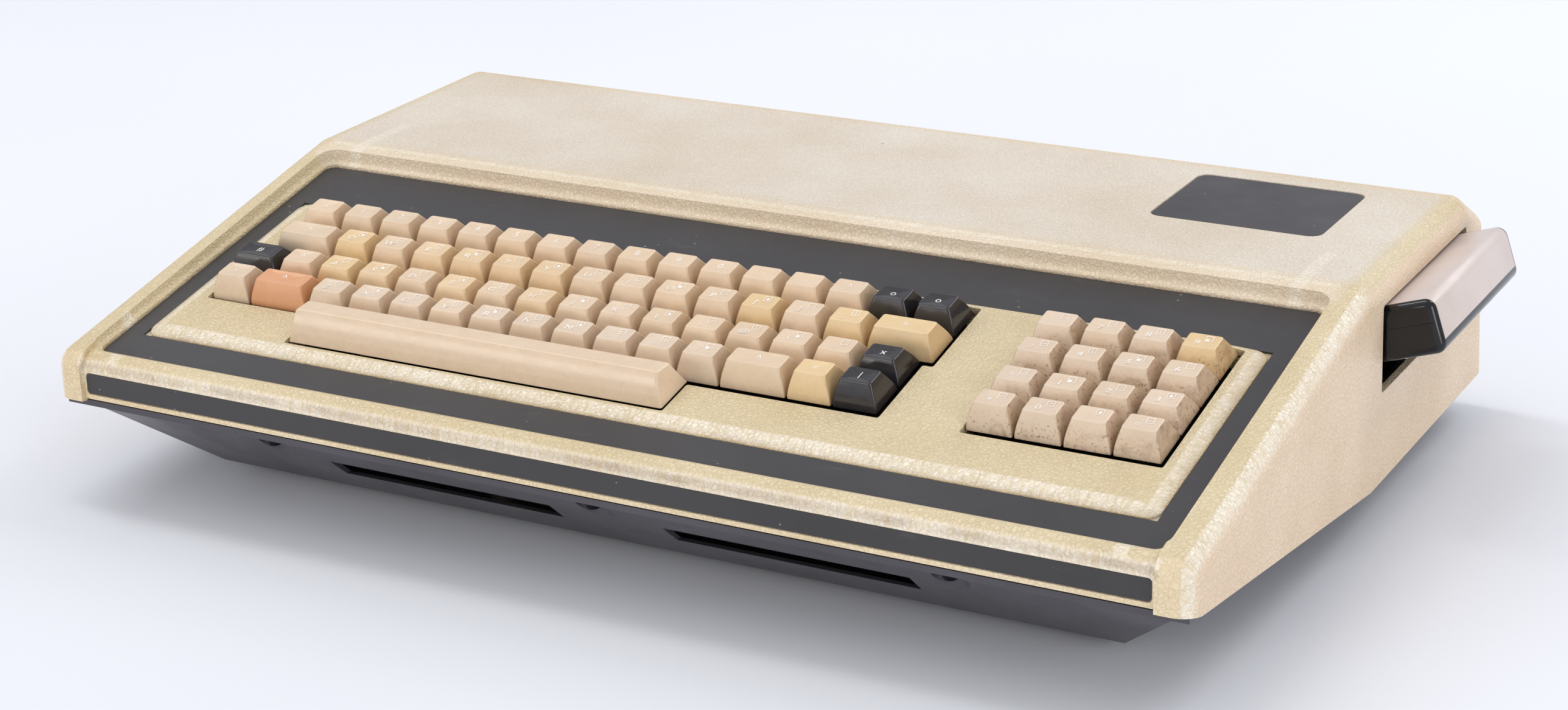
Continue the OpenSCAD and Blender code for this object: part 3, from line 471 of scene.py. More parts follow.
def carve(piece, cutter):
    # exact boolean, applied, and the cutter removed
    modifier = piece.modifiers.new("carve", "BOOLEAN")
    modifier.operation, modifier.solver, modifier.object = "DIFFERENCE", "EXACT", cutter
    graph = bpy.context.evaluated_depsgraph_get()
    mesh = bpy.data.meshes.new_from_object(piece.evaluated_get(graph))
    piece.modifiers.clear()
    piece.data = mesh
    bpy.data.objects.remove(cutter)
    return piece


def solid(name, rings):
    # a closed piece without a material from its rings
    return outward(makeObject(name, *loft(rings), None, 0))


# faces of a box whose corners run in x, then y, then z
boxFaces = [(0, 2, 3, 1), (4, 5, 7, 6), (0, 1, 5, 4), (2, 6, 7, 3), (0, 4, 6, 2), (1, 3, 7, 5)]


def boxCorners(low, high):
    return [(x, y, z) for z in (low[2], high[2]) for y in (low[1], high[1])
            for x in (low[0], high[0])]


def caseMm(v):
    # row metres back to case millimetres
    return v.x * 1000.0 - sideShift, v.y * 1000.0, v.z * 1000.0


def roundEdges(piece, pick, width, segments=3, angle=20.0):
    # rounds the edges that pick(a, b) accepts, by width in metres
    work = bmesh.new()
    work.from_mesh(piece.data)
    bmesh.ops.remove_doubles(work, verts=work.verts, dist=2e-6)
    bmesh.ops.dissolve_degenerate(work, edges=work.edges, dist=2e-6)
    chosen = [e for e in work.edges if len(e.link_faces) == 2
              and e.calc_face_angle(0.0) > math.radians(angle)
              and pick(e.verts[0].co, e.verts[1].co)]
    bmesh.ops.bevel(work, geom=chosen, offset=width, offset_type="OFFSET", segments=segments,
                    profile=0.5, affect="EDGES", clamp_overlap=True, harden_normals=False)
    work.to_mesh(piece.data)
    work.free()
    print("rounded", len(chosen), "edges of", piece.name)
    return piece


def weigh(piece, smooth=35.0):
    # clean shading over flats and rounded edges
    piece.data.shade_smooth()
    piece.data.set_sharp_from_angle(angle=math.radians(smooth))
    modifier = piece.modifiers.new("weigh", "WEIGHTED_NORMAL")
    modifier.keep_sharp = True
    return piece


def softened(node, width, material, slot, body, segments):
    # a copy of a CAD node with its sharp edges rounded by width in metres
    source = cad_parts[node]
    piece = bpy.data.objects.new(node + "Soft", source.data.copy())
    bpy.context.collection.objects.link(piece)
    work = bmesh.new()
    work.from_mesh(piece.data)
    bmesh.ops.remove_doubles(work, verts=work.verts, dist=3e-6)
    bmesh.ops.dissolve_limit(work, angle_limit=math.radians(1.0), verts=work.verts,
                             edges=work.edges)
    work.to_mesh(piece.data)
    work.free()
    bevel = piece.modifiers.new("soften", "BEVEL")
    bevel.width, bevel.segments, bevel.limit_method = width, segments, "ANGLE"
    bevel.angle_limit = math.radians(32.0)
    bevel.use_clamp_overlap, bevel.miter_outer = True, "MITER_ARC"
    graph = bpy.context.evaluated_depsgraph_get()
    piece.data = bpy.data.meshes.new_from_object(piece.evaluated_get(graph))
    piece.modifiers.clear()
    dress(piece, material, 35.0)
    settle(weigh(piece), body, slot, node)


def settle(piece, body, slot, *nodes):
    if nodes:
        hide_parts(*nodes)
    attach(piece, body)
    return piece


# ---- top shell ----
shell = {"half": 244.5, "round": 9.0, "steps": 8, "setBack": 1.9, "draft": 1.2,
         "corners": [9.0, 14.0, 10.0, 6.0], "arcs": [10, 7, 7, 6], "wall": 3.0, "slopeWall": 13.5,
         "postInner": 229.6, "panelHalf": 228.5, "panelLength": 162.3, "lipLow": 44.0,
         "strip": (-228.3, 45.9, 228.3, 55.0), "badge": (133.0, 62.0, 205.0, 122.0),
         "slot": (28.5, 55.0, 133.0, 90.0), "deck": 102.0,
         "rearOpening": ((-196.0, 150.0, 21.5), (196.0, 180.0, 62.0)),
         "pocketSteps": [(-0.8, 0.0), (0.2, 0.0), (0.9, 0.15), (1.5, 0.6), (1.85, 1.5), (2.1, 2.5),
                         (2.6, 3.1), (3.6, 3.5), (30.0, 9.0)]}
shellLines = [((-166.0, 43.0), (0.0, 1.0)),            # front wall, going up
              ((-158.0, 64.5), (172.0, 37.5)),         # slope, going back
              ((14.0, 102.0), (1.0, 0.0)),             # deck
              ((137.8, 100.6), (21.88, -12.39)),       # chamfer
              ((161.98, 84.44), (4.02, -66.44))]       # rear wall, going down
lowEdge = [((18.0, 18.0), (-184.0, 25.0)), ((18.0, 18.0), (1.0, 0.0))]


def shellRing(x, inset, insets=(0, 0, 0, 0, 0), drop=0.0):
    # the side view's outline at x, moved in by inset, as row points
    moved = []
    for (p, d), extra in zip(shellLines, insets):
        n = math.hypot(*d)
        inward = (d[1] / n, -d[0] / n)  # the outline runs clockwise, so this points into the case
        moved.append(((p[0] + inward[0] * (inset + extra), p[1] + inward[1] * (inset + extra)), d))
    low = [((p[0], p[1] - drop), d) for p, d in lowEdge]
    corners = [meet(*moved[0], *low[0])] + [meet(*moved[i], *moved[i + 1]) for i in range(4)]
    corners.append(meet(*moved[4], *low[1]))
    path = filletPath(corners, [r - inset for r in shell["corners"]], shell["arcs"])
    return [place(x, y, z) for y, z in path + [(18.0, 18.0 - drop)]]


def shellSolid(name, half, insets=(0, 0, 0, 0, 0), drop=0.0, rounding=None):
    r = shell["round"] if rounding is None else rounding
    turns = [math.radians(90.0 * i / shell["steps"]) for i in range(shell["steps"], -1, -1)]
    stations = [(-(half - r + r * math.sin(t)), r * (1 - math.cos(t))) for t in turns]
    stations += [(half - r + r * math.sin(t), r * (1 - math.cos(t))) for t in reversed(turns)]
    rings = [shellRing(x, inset, insets, drop) for x, inset in stations]
    return solid(name, rings)


def keyOpening(grow, tight=0.0):
    # the openings round the keys, in slope mm; tight draws the edges that show closer to the keys
    first, pitch, middle, half = -193.4, 19.05, -67.8, 86.0
    x = [first + u * pitch for u in (-1, -0.75, -0.5, 15.25, 15.5)]
    g = grow
    bar, front = half + g - 0.9 * tight, 24.9 + 0.7 * tight
    leftSide, leftFront = x[1] - g + 0.9 * tight, 44.8 + 1.9 * tight
    main = [(x[2] - g, 126.4), (x[4] + g, 126.4), (x[4] + g, 82.6), (x[3] + g + 0.5, 82.6),
            (x[3] + g + 0.5, 44.8), (middle + bar, 44.8), (middle + bar, front),
            (middle - bar, front), (middle - bar, leftFront), (leftSide, leftFront),
            (leftSide, 65.9), (x[0] - g + 0.2, 65.9), (x[0] - g + 0.2, 88.3), (x[2] - g, 88.3)]
    left = first + 17.09 * pitch - g + 0.6 + tight
    right = first + 21.09 * pitch + g
    pad = [(left, 44.8), (right, 44.8), (right, 126.4), (left, 126.4)]
    return list(reversed(main)), pad


def roundedPath(points, r, n=3):
    # a closed path of corners, each rounded by r
    count = len(points)
    return [q for k in range(count) for q in arcBetween(points[k - 1], points[k],
                                                        points[(k + 1) % count], r, n)]


def slopePrism(name, outline, low, high):
    rings = [[onSlope(x, s, h) for x, s in outline] for h in (low, high)]
    return solid(name, rings)


def buildShell():
    body = shellSolid("topShellGrained", shell["half"])
    wall = shell["wall"]
    space = shellSolid("space", shell["half"] - wall, (wall, shell["slopeWall"], wall, wall, wall),
                       40.0, 4.0)
    carve(body, space)
    # the front between the two posts is set back, and its lip ends higher
    back = shell["setBack"]
    path = [(v.y * 1000.0, v.z * 1000.0) for v in shellRing(0.0, back)[1:-1]]
    path = [p for p in path if p[0] < -150.0]
    edge = [(-180.0, 30.0), (-180.0, 95.0), (-150.0, 95.0),
            (-150.0, path[-1][1] + (-150.0 - path[-1][0]) * 37.5 / 172.0)] + list(reversed(path))
    edge += [(-166.0 + back, shell["lipLow"]), (-159.0, shell["lipLow"]), (-159.0, 30.0)]
    inner = shell["postInner"]
    rings = [[place(side * inner, y, z) for y, z in edge] for side in (-1, 1)]
    carve(body, solid("front", rings))
    # the pocket that holds the dark panel, with its double step
    rings = []
    for h, m in shell["pocketSteps"]:
        ease = 4.0 + m * 0.8
        front = min(m, 3.2) if h < 10 else 3.2
        half, length = shell["panelHalf"] + m * 0.55, shell["panelLength"] + m * 0.9
        rings.append([onSlope(x, s, h) for x, s in roundRect(-half, -front, half, length, ease, 6)])
    carve(body, solid("pocket", rings))
    # openings for keys, front strip, badge plate, cartridge and rear panel
    for outline in keyOpening(2.4):
        carve(body, slopePrism("keys", outline, -30.0, 3.0))
    front = -166.0 + back
    rings = [[place(x, y, z) for x, z in roundRect(*shell["strip"], 1.6, 4)]
             for y in (front - 8.0, front + 0.7)]
    carve(body, solid("strip", rings))
    rings = [[place(x, y, z) for x, y in roundRect(*shell["badge"], 5.2, 6)]
             for z in (100.9, 120.0)]
    carve(body, solid("badge", rings))
    rings = [[place(x, y, z) for y, z in roundRect(*shell["slot"], 1.5, 3)] for x in (225.0, 260.0)]
    carve(body, solid("slot", rings))
    corners = [place(*p) for p in boxCorners(*shell["rearOpening"])]
    carve(body, makeObject("box", corners, boxFaces, None, 0))
    print("shell carved", len(body.data.vertices))

    # rounded edges, picked by where they are
    def lineZ(y):
        (y0, z0), (run, rise) = shellLines[1]
        return z0 + (y - y0) * rise / run

    def nearPocketTop(a, b):
        for v in (a, b):
            x, y, z = caseMm(v)
            if y < -157.0 or y > 16.0 or abs(x) > 236.0 or z < lineZ(y) - 2.6 - 0.8 or z > 102.3:
                return False
        x, y, z = caseMm((a + b) / 2)
        top = min(lineZ(y), shell["deck"])
        frontEdge = y < -150.5 and abs(x) < 229.0
        return abs(z - (top - (1.95 if frontEdge else 0.0))) < 0.7
    roundEdges(body, nearPocketTop, 0.0016, 4)

    def postEdge(a, b):
        ends = [caseMm(v) for v in (a, b)]
        return all(abs(abs(x) - inner) <= 0.05 and y <= -150.0 for x, y, z in ends)
    roundEdges(body, postEdge, 0.0011, 3)

    def smallEdges(a, b):
        for v in (a, b):
            x, y, z = caseMm(v)
            badge = 132.5 < x < 205.5 and 61.5 < y < 122.5 and abs(z - 102.0) < 0.05
            slot = x > 243.0 and 27.0 < y < 134.0 and 54.0 < z < 91.0
            strip = abs(y - front) < 0.05 and abs(x) < 228.5 and z < 56.0
            if not (badge or slot or strip):
                return False
        return True
    roundEdges(body, smallEdges, 0.0004, 2)
    # the side walls lean in towards the top
    lean = math.tan(math.radians(shell["draft"]))
    for v in body.data.vertices:
        x = v.co.x * 1000.0 - sideShift
        weight = max(0.0, min(1.0, (abs(x) - 233.0) / 8.0))
        v.co.x -= math.copysign(lean * max(0.0, v.co.z * 1000.0 - 18.0) * weight / 1000.0, x)
    dress(body, finish["case"])
    weigh(body)
    return body


def buildIsland():
    low, high = (-219.0, 17.2, 219.0, 130.2), (-215.2, 24.6, 210.0, 128.2)
    rings = []
    for h, t in ((-1.6, 0.0), (-0.1, 0.0), (0.2, 0.02), (0.42, 0.07), (0.95, 0.34), (1.5, 0.61),
                 (1.95, 0.84), (2.1, 0.93), (2.2, 1.0)):
        x0, s0, x1, s1 = (low[i] + (high[i] - low[i]) * t for i in range(4))
        rings.append([onSlope(x, s, h) for x, s in roundRect(x0, s0, x1, s1, 6.5 + 3.5 * t, 8)])
    body = solid("keyIslandGrained", rings)
    for outline in keyOpening(1.9, 1.0):
        carve(body, slopePrism("keys", roundedPath(outline, 1.0), -6.0, 6.0))

    def rim(a, b):
        top = onSlope(0, 0, 2.2)
        normal = Vector((0, -slopeSin, slopeCos))
        return all(abs((v - top).dot(normal)) < 2e-5 for v in (a, b))
    roundEdges(body, rim, 0.0005, 2)
    dress(body, finish["case"])
    weigh(body)
    return body


topShell = buildShell()
island = buildIsland()
settle(topShell, "case", "case_plastic", "top_shell")
settle(island, "case", "case_plastic")
frontStrip = makeObject("frontStripBare", *loft([[place(x, y, z) for x,
                                                  z in roundRect(-228.0, 46.2, 228.0, 54.7, 1.4, 4)]
                                                 for y in (-163.4 + 0.3, -163.75, -163.85)]),
                        finish["panel"])
settle(outward(frontStrip), "case", "dark_panel", "front_strip")
print("shell ready")


# ---- keys ----
keyRows = {"s": [115.2, 96.15, 77.1, 58.05], "top": [11.7, 11.4, 10.4, 11.7], "first": -193.4,
           "pitch": 19.05, "gap": 0.8, "pad": 17.59, "topWide": 12.7, "front": -6.1, "back": 2.9,
           "skirt": 0.6, "dish": 0.5, "bulge": 1.6, "sign": 4.8, "boxed": 3.1,
           # the side factors are painted shade: the side walls of each cap are this much darker
           "sideShade": (0.76, 0.70, 0.64)}
tints = {"c": "#E0C9AD", "p": "#DFCBB4", "y": "#E3C799", "w": "#E1C6A0", "o": "#DAA074",
         "d": "#2C2A2D"}


def keyTable():
    # node: [(middle in keys, width in keys, row, tint, sign, boxed sign)]
    # each row: first middle, signs, tints, wide keys, (first, past last, turn) of the boxed signs
    rows = [(0.0, "<1234567890:-^oo", "c" * 14 + "dd", {}, (0, 0, 0)),
            (0.25, ">QWERTYUIOP[]_=", "cycwwwwccccycyy", {0: 1.5, 14: 1.5}, (1, 14, 0)),
            (-0.375, "#^ASDFGHJKL;@\\-x", "dcywcwcwcccccccd", {0: 1.25}, (2, 15, 2)),
            (-0.25, "v^ZXCVBNM,./^=|", "co" + "p" * 10 + "cyd", {1: 1.5, 12: 1.5}, (2, 12, 4))]
    groups = [[("number_keys_left", 5), ("number_keys_middle", 5), ("number_keys_right", 4),
               ("reset_keys", 2)],
              [("tab_key", 1), ("upper_keys_left", 4), ("upper_keys_middle", 5),
               ("upper_keys_right", 4), ("return_key", 1)],
              [("graphic_key", 1), ("control_key", 1), ("middle_keys_left", 4),
               ("middle_keys_middle", 5), ("middle_keys_right", 4), ("clear_key", 1)],
              [("lock_key", 1), ("left_shift_key", 1), ("lower_keys_left", 5),
               ("lower_keys_right", 5), ("right_shift_key", 1), ("repeat_key", 1), ("stop_key", 1)]]
    table = {}
    for row, (middle, signs, tones, wide, (start, stop, turn)) in enumerate(rows):
        keys = []
        for i, (sign, tone) in enumerate(zip(signs, tones)):
            if i:
                middle += (wide.get(i - 1, 1) + wide.get(i, 1)) / 2
            boxed = 1 + (i - start + turn) % 5 if start <= i < stop else 0
            keys.append((middle, wide.get(i, 1), row, tone, sign, boxed))
        for node, count in groups[row]:
            table[node], keys = keys[:count], keys[count:]
    for r, signs in enumerate(["-789", "/456", "*123", "+0.="]):
        table["pad_keys_row_%d" % (r + 1)] = [
            (keyRows["pad"] + c, 1, r, "y" if (r, c) == (0, 3) else "p", signs[c],
             1 + (r + c) % 5 if c else 2) for c in range(4)]
    return table


def capRings(wide, row):
    # one cap about its own middle: rings of (x, s, h) from inside the skirt over the top
    high = keyRows["top"][row]
    w = wide * keyRows["pitch"] / 2 - keyRows["gap"] / 2
    d = (keyRows["pitch"] - keyRows["gap"]) / 2
    tw = w - (d - keyRows["topWide"] / 2)
    rings = []

    def section(t, inset=0.0, lift=0.0, z=None):
        f = t ** keyRows["bulge"]
        x = w + (tw - w) * f - inset
        s0 = -d + (keyRows["front"] + d) * f + inset
        s1 = d + (keyRows["back"] - d) * (t ** 1.25) - inset
        r = max(0.3, 0.4 + 0.75 * t - inset * 0.5)
        h = keyRows["skirt"] + (high - keyRows["skirt"]) * t if z is None else z
        return [(px, ps, h + lift) for px, ps in roundRect(-x, s0, x, s1, r, 4)]
    rings.append(section(0.55, 1.6))
    rings.append(section(0.0, 1.3))
    rings.append(section(0.0, 0.15))
    rings.append(section(0.02))
    for t in (0.15, 0.3, 0.45, 0.6, 0.75, 0.87):
        rings.append(section(t))
    r = 0.7  # rounding of the top edge
    tTop = 1 - r / (high - keyRows["skirt"]) * 0.8
    for a in (0, 22, 45, 68, 84):
        c = math.radians(a)
        rings.append(section(tTop, r * (1 - math.cos(c)), 0, high - r * (1 - math.sin(c)) * 0.8))
    last = rings[-1]
    centre = (0.0, (keyRows["front"] + keyRows["back"]) / 2)
    for k in (0.8, 0.6, 0.4, 0.2):
        rings.append([(centre[0] + (x - centre[0]) * k, centre[1] + (s - centre[1]) * k,
                       high - keyRows["dish"] * (1 - k * k)) for x, s, h in last])
    return rings, high


def topHeight(row, x, s, wide):
    # height of the dished top face
    high = keyRows["top"][row]
    w = wide * keyRows["pitch"] / 2 - (keyRows["pitch"] - keyRows["topWide"]) / 2
    s0 = (keyRows["front"] + keyRows["back"]) / 2
    k = max(abs(x) / max(w - 0.7, 1), abs(s - s0) / 3.4)
    return high - keyRows["dish"] * (1 - min(1.0, k) ** 2)


glyphs = {}


def glyph(sign):
    # outline of one plain character as flat triangles, about 1 high
    if sign not in glyphs:
        curve = bpy.data.curves.new("glyph", "FONT")
        curve.body, curve.size, curve.resolution_u = sign, 1.0, 3
        curve.align_x, curve.align_y = "CENTER", "CENTER"
        holder = bpy.data.objects.new("glyph", curve)
        bpy.context.collection.objects.link(holder)
        graph = bpy.context.evaluated_depsgraph_get()
        graph.update()
        mesh = bpy.data.meshes.new_from_object(holder.evaluated_get(graph))
        glyphs[sign] = ([(v.co.x, v.co.y) for v in mesh.vertices],
                        [tuple(p.vertices) for p in mesh.polygons])
        bpy.data.objects.remove(holder)
    return glyphs[sign]


def bar(x0, y0, x1, y1):
    return [(x0, y0), (x1, y0), (x1, y1), (x0, y1)], [(0, 1, 2, 3)]


def frameSign(kind):
    # a small square frame with a plain filled part, as a second sign
    parts = [bar(0, 0, 1, 0.09), bar(0, 0.91, 1, 1), bar(0, 0.09, 0.09, 0.91),
             bar(0.91, 0.09, 1, 0.91)]
    parts.append({1: bar(0.3, 0.3, 0.7, 0.7), 2: bar(0.09, 0.46, 0.91, 0.54),
                  3: bar(0.46, 0.09, 0.54, 0.91), 4: bar(0.09, 0.09, 0.5, 0.5),
                  5: bar(0.22, 0.62, 0.78, 0.7)}[kind])
    return parts


def paintCaps(piece, colours, grime):
    # each point's own colour and dirt, which the key plastic reads; on the keys this colour also
    # holds painted shade on the caps' side walls
    layer = piece.data.color_attributes.new("tint", "FLOAT_COLOR", "POINT")
    layer.data.foreach_set("color", [c for colour in colours for c in (*colour, 1.0)])
    layer = piece.data.attributes.new("dirt", "FLOAT", "POINT")
    layer.data.foreach_set("value", grime)
    outward(piece)


def buildKeys():
    for node, keys in keyTable().items():
        vertices, faces, colours, grime = [], [], [], []
        inkVertices, inkFaces = [], []
        dark = keys[0][3] == "d"
        for u, wide, row, tint, sign, boxed in keys:
            centre = (keyRows["first"] + u * keyRows["pitch"], keyRows["s"][row])
            rings, high = capRings(wide, row)
            base = len(vertices)
            seed = random.Random(int(u * 100) + row * 7919)
            light, shift = seed.uniform(0.96, 1.02), seed.uniform(-0.02, 0.02)
            colour = [c * light for c in linear(tints[tint])[:3]]
            colour = [colour[0], colour[1] * (1 - shift * 0.4), colour[2] * (1 - shift * 1.6)]
            newVertices, newFaces = loft([[onSlope(centre[0] + x, centre[1] + s, h) for x, s,
                                           h in ring] for ring in rings])
            vertices += newVertices
            faces += [tuple(base + i for i in f) for f in newFaces]
            padKey = u > 17
            wallHalf = max(p[0] for p in rings[-9])  # where the top edge starts to round
            for ring in rings:
                for x, s, h in ring:
                    # painted shade: the left and right walls of each cap are painted darker, as in
                    # the gaps between caps
                    onSide = abs(x) > max(max(p[0] for p in ring) - 0.3, wallHalf - 0.05)
                    colours.append([c * k for c, k in zip(colour, keyRows["sideShade"])] if onSide
                                   else colour)
                    side = 0.75 if padKey and x > wide * 6.5 else 0.0
                    grime.append(max(side, (1.0 if padKey else 0.3) * max(0.0,
                            1.0 - (h - 0.6) / (10.5 if padKey else 5.0))))
            # stem of the switch
            base = len(vertices)
            vertices += [onSlope(centre[0] + x, centre[1] + s, h)
                         for x, s, h in boxCorners((-2.3, -2.3, -6.0), (2.3, 2.3, high - 2.0))]
            faces += [tuple(base + i for i in f) for f in boxFaces]
            colours += [colour] * 8
            grime += [0.0] * 8
            # signs on the top face
            marks = []
            outline, triangles = glyph(sign)
            size = keyRows["sign"]
            shift = (-1.7, -2.6) if boxed else (0.0, -1.3)
            marks.append(([(shift[0] + x * size, shift[1] + y * size) for x, y in outline],
                          triangles))
            if boxed:
                for outline, quads in frameSign(boxed):
                    marks.append(([(0.6 + x * keyRows["boxed"], -1.2 + y * keyRows["boxed"]) for x,
                                   y in outline], quads))
            for outline, quads in marks:
                base = len(inkVertices)
                for x, s in outline:
                    inkVertices.append(onSlope(centre[0] + x, centre[1] + s,
                                               topHeight(row, x, s, wide) + 0.06))
                inkFaces += [tuple(base + i for i in f) for f in quads]
        name = node.title().replace("_", "")
        piece = makeObject(name + "Caps", vertices, faces, None, 0)
        paintCaps(piece, colours, grime)
        dress(piece, finish["keyDark" if dark else "keyCream"], 50.0)
        weigh(piece, 50.0)
        slot = {"d": "key_dark", "o": "key_orange"}.get(keys[0][3], "key_cream")
        if node in ("return_key", "repeat_key"):
            slot = "key_yellow"
        settle(piece, node, slot, node)
        ink = makeObject(name + "Signs", inkVertices, inkFaces,
                         finish["inkDark" if dark else "ink"], 0)
        settle(ink, node, slot)


def buildSpaceBar():
    # one bar: convex tall front, narrow top, leaning ends, all edges round
    middle, half, lean, r = -67.8, 86.0, 3.4, 1.0
    skirt = 1.8
    outline = [(27.4, skirt), (27.8, 3.4), (28.4, 6.0), (29.5, 9.4), (30.9, 12.2), (32.6, 14.4),
               (41.2, 13.4), (44.6, 7.0), (47.6, skirt)]
    path = filletPath(outline, [8.0, 14.0, 16.0, 14.0, 1.0, 1.3, 8.0], [4, 5, 5, 5, 6, 6, 3])
    count = len(path)
    normals = []
    for i in range(count):
        a, b = Vector(path[max(0, i - 1)]), Vector(path[min(count - 1, i + 1)])
        d = (b - a).normalized()
        normals.append((d.y, -d.x))  # towards the inside
    rings = []
    turns = [math.radians(a) for a in (90, 72, 54, 36, 18, 0)]
    for side, order in ((-1, turns), (1, list(reversed(turns)))):
        for a in order:
            inset = r * (1 - math.cos(a))
            ring = []
            for (s, h), n in zip(path, normals):
                s2, h2 = s + n[0] * inset, h + n[1] * inset
                if s in (path[0][0], path[-1][0]) and h == skirt:
                    h2 = skirt
                x = half - lean * (h2 - 0.6) / 15.4 - r + r * math.sin(a)
                ring.append(onSlope(middle + side * x, s2, max(skirt, h2)))
            rings.append(ring)
    vertices, faces = loft(rings)
    # the switch's stem under the middle, and a guide under each end
    stems = [((-2.3, 35.2, -6.0), (2.3, 39.8, 12.0))]
    stems += [((m * 56 - 2.5, 36.0, -5.0), (m * 56 + 2.5, 40.4, 3.0)) for m in (-1, 1)]
    for low, high in stems:
        base = len(vertices)
        vertices += [onSlope(middle + x, s, h) for x, s, h in boxCorners(low, high)]
        faces += [tuple(base + i for i in f) for f in boxFaces]
    piece = makeObject("SpaceBarCap", vertices, faces, None, 0)
    paintCaps(piece, [linear(tints["c"])[:3]] * len(vertices), [0.06] * len(vertices))
    dress(piece, finish["keyCream"], 40.0)
    weigh(piece, 40.0)
    settle(piece, "space_bar", "key_cream", "space_bar")


buildKeys()
buildSpaceBar()
print("keys ready")


# ---- cartridge ----
cartridge = {"tilt": 18.0, "shift": -1.35, "end": 277.0, "length": 133.0, "thick": 21.9, "y0": 31.0,
             "y1": 129.0, "round": 4.2, "endRound": 3.0}


def onSlide(a, y, b):
    # cartridge millimetres: along the slide, back, square to the slide
    t = math.radians(cartridge["tilt"])
    return place(a * math.cos(t) - b * math.sin(t), y, a * math.sin(t) + b * math.cos(t))


def buildCartridge():
    c = cartridge
    rings = []
    turns = [math.radians(a) for a in (90, 75, 60, 45, 30, 15, 0)]
    r = c["endRound"]
    for y, side, order in ((c["y0"], 1, turns), (c["y1"], -1, list(reversed(turns)))):
        for a in order:
            inset = r * (1 - math.cos(a))
            yy = y + side * r * (1 - math.sin(a))
            rings.append([onSlide(px, yy, pz) for px, pz in roundRect(c["end"] - c["length"]
                    + inset, c["shift"] - c["thick"] / 2 + inset, c["end"] - inset,
                    c["shift"] + c["thick"] / 2 - inset, max(0.6, c["round"] - inset), 8)])
    body = solid("CartridgeShellPolished", rings)
    mouth = [onSlide(a, y, b) for b in (c["shift"] - 6, c["shift"] + 6) for y in (43.0, 117.0)
             for a in (c["end"] - c["length"] - 4, c["end"] - c["length"] + 24)]
    cut = makeObject("mouth", mouth, boxFaces, None, 0)
    carve(body, outward(cut))
    # fine seam where the two halves of the shell meet
    seam = [onSlide(a, y, b) for b in (c["shift"] + 1.9, c["shift"] + 2.25)
            for y in (c["y0"] - 2, c["y0"] + 0.35) for a in (c["end"] - c["length"] + 6,
                                                             c["end"] + 3)]
    cut = makeObject("seam", seam, boxFaces, None, 0)
    carve(body, outward(cut))
    dress(body, finish["cartridge"], 30.0)
    settle(body, "cartridge", "cartridge_plastic", "cartridge_shell")

    # label: one film from the top face round the outer edge, a little clear of the rounded ends
    profile, steps = [], 8
    e, t, r = c["end"], c["shift"] + c["thick"] / 2, c["round"]
    profile.append((e - 34.0, t))
    for i in range(steps + 1):
        a = math.radians(90 - 90 * i / steps)
        profile.append((e - r + r * math.cos(a), t - r + r * math.sin(a)))
    profile.append((e, c["shift"] - c["thick"] / 2 + 5.2))
    rings = []
    ys = (c["y0"] + 2.6, c["y0"] + 2.9, c["y1"] - 3.6, c["y1"] - 3.3)
    for k, y in enumerate(ys):
        thick = 0.04 if k in (0, 3) else 0.16
        outer, inner = [], []
        for i, (a, b) in enumerate(profile):
            p, q = Vector(profile[max(0, i - 1)]), Vector(profile[min(len(profile) - 1, i + 1)])
            d = (q - p).normalized()
            n = (-d.y, d.x)
            outer.append(onSlide(a + n[0] * thick, y, b + n[1] * thick))
            inner.append(onSlide(a - n[0] * 0.02, y, b - n[1] * 0.02))
        rings.append(outer + list(reversed(inner)))
    label = solid("CartridgeLabelBare", rings)
    dress(label, finish["label"], 40.0)
    settle(label, "cartridge", "label_paper", "cartridge_label")


buildCartridge()
print("cartridge ready")


# ---- what repeats: screws, chip legs and socket posts, grown on points by Geometry Nodes ----
def startGrowth(name, sizes):
    # a node group that takes points and named sizes, the call that adds its nodes, and its inputs
    tree = bpy.data.node_groups.new(name, "GeometryNodeTree")
    tree.interface.new_socket("Geometry", in_out="INPUT", socket_type="NodeSocketGeometry")
    for size in sizes:
        tree.interface.new_socket(size, in_out="INPUT", socket_type="NodeSocketFloat")
    tree.interface.new_socket("Geometry", in_out="OUTPUT", socket_type="NodeSocketGeometry")
    add = functools.partial(addNode, tree)
    return tree, add, add("NodeGroupInput", out=None).outputs


def endGrowth(tree, points, shape, material):
    grown = addNode(tree, "GeometryNodeInstanceOnPoints", {"Points": points, "Instance": shape})
    grown = addNode(tree, "GeometryNodeRealizeInstances", {"Geometry": grown})
    grown = addNode(tree, "GeometryNodeSetMaterial", {"Geometry": grown, "Material": material})
    addNode(tree, "NodeGroupOutput", {"Geometry": grown}, out=None)
    return tree


def grow(name, tree, points, sizes):
    # the grown parts as one plain mesh
    piece = makeObject(name, [place(*p) for p in points], [], None, 0)
    modifier = piece.modifiers.new("grow", "NODES")
    modifier.node_group = tree
    for item in tree.interface.items_tree:
        if item.in_out == "INPUT" and item.name in sizes:
            modifier[item.identifier] = sizes[item.name]
    graph = bpy.context.evaluated_depsgraph_get()
    grown = bpy.data.meshes.new_from_object(piece.evaluated_get(graph))
    piece.modifiers.clear()
    piece.data = grown
    print("grown", name, len(grown.polygons))
    return dress(outward(piece), None, 30.0)


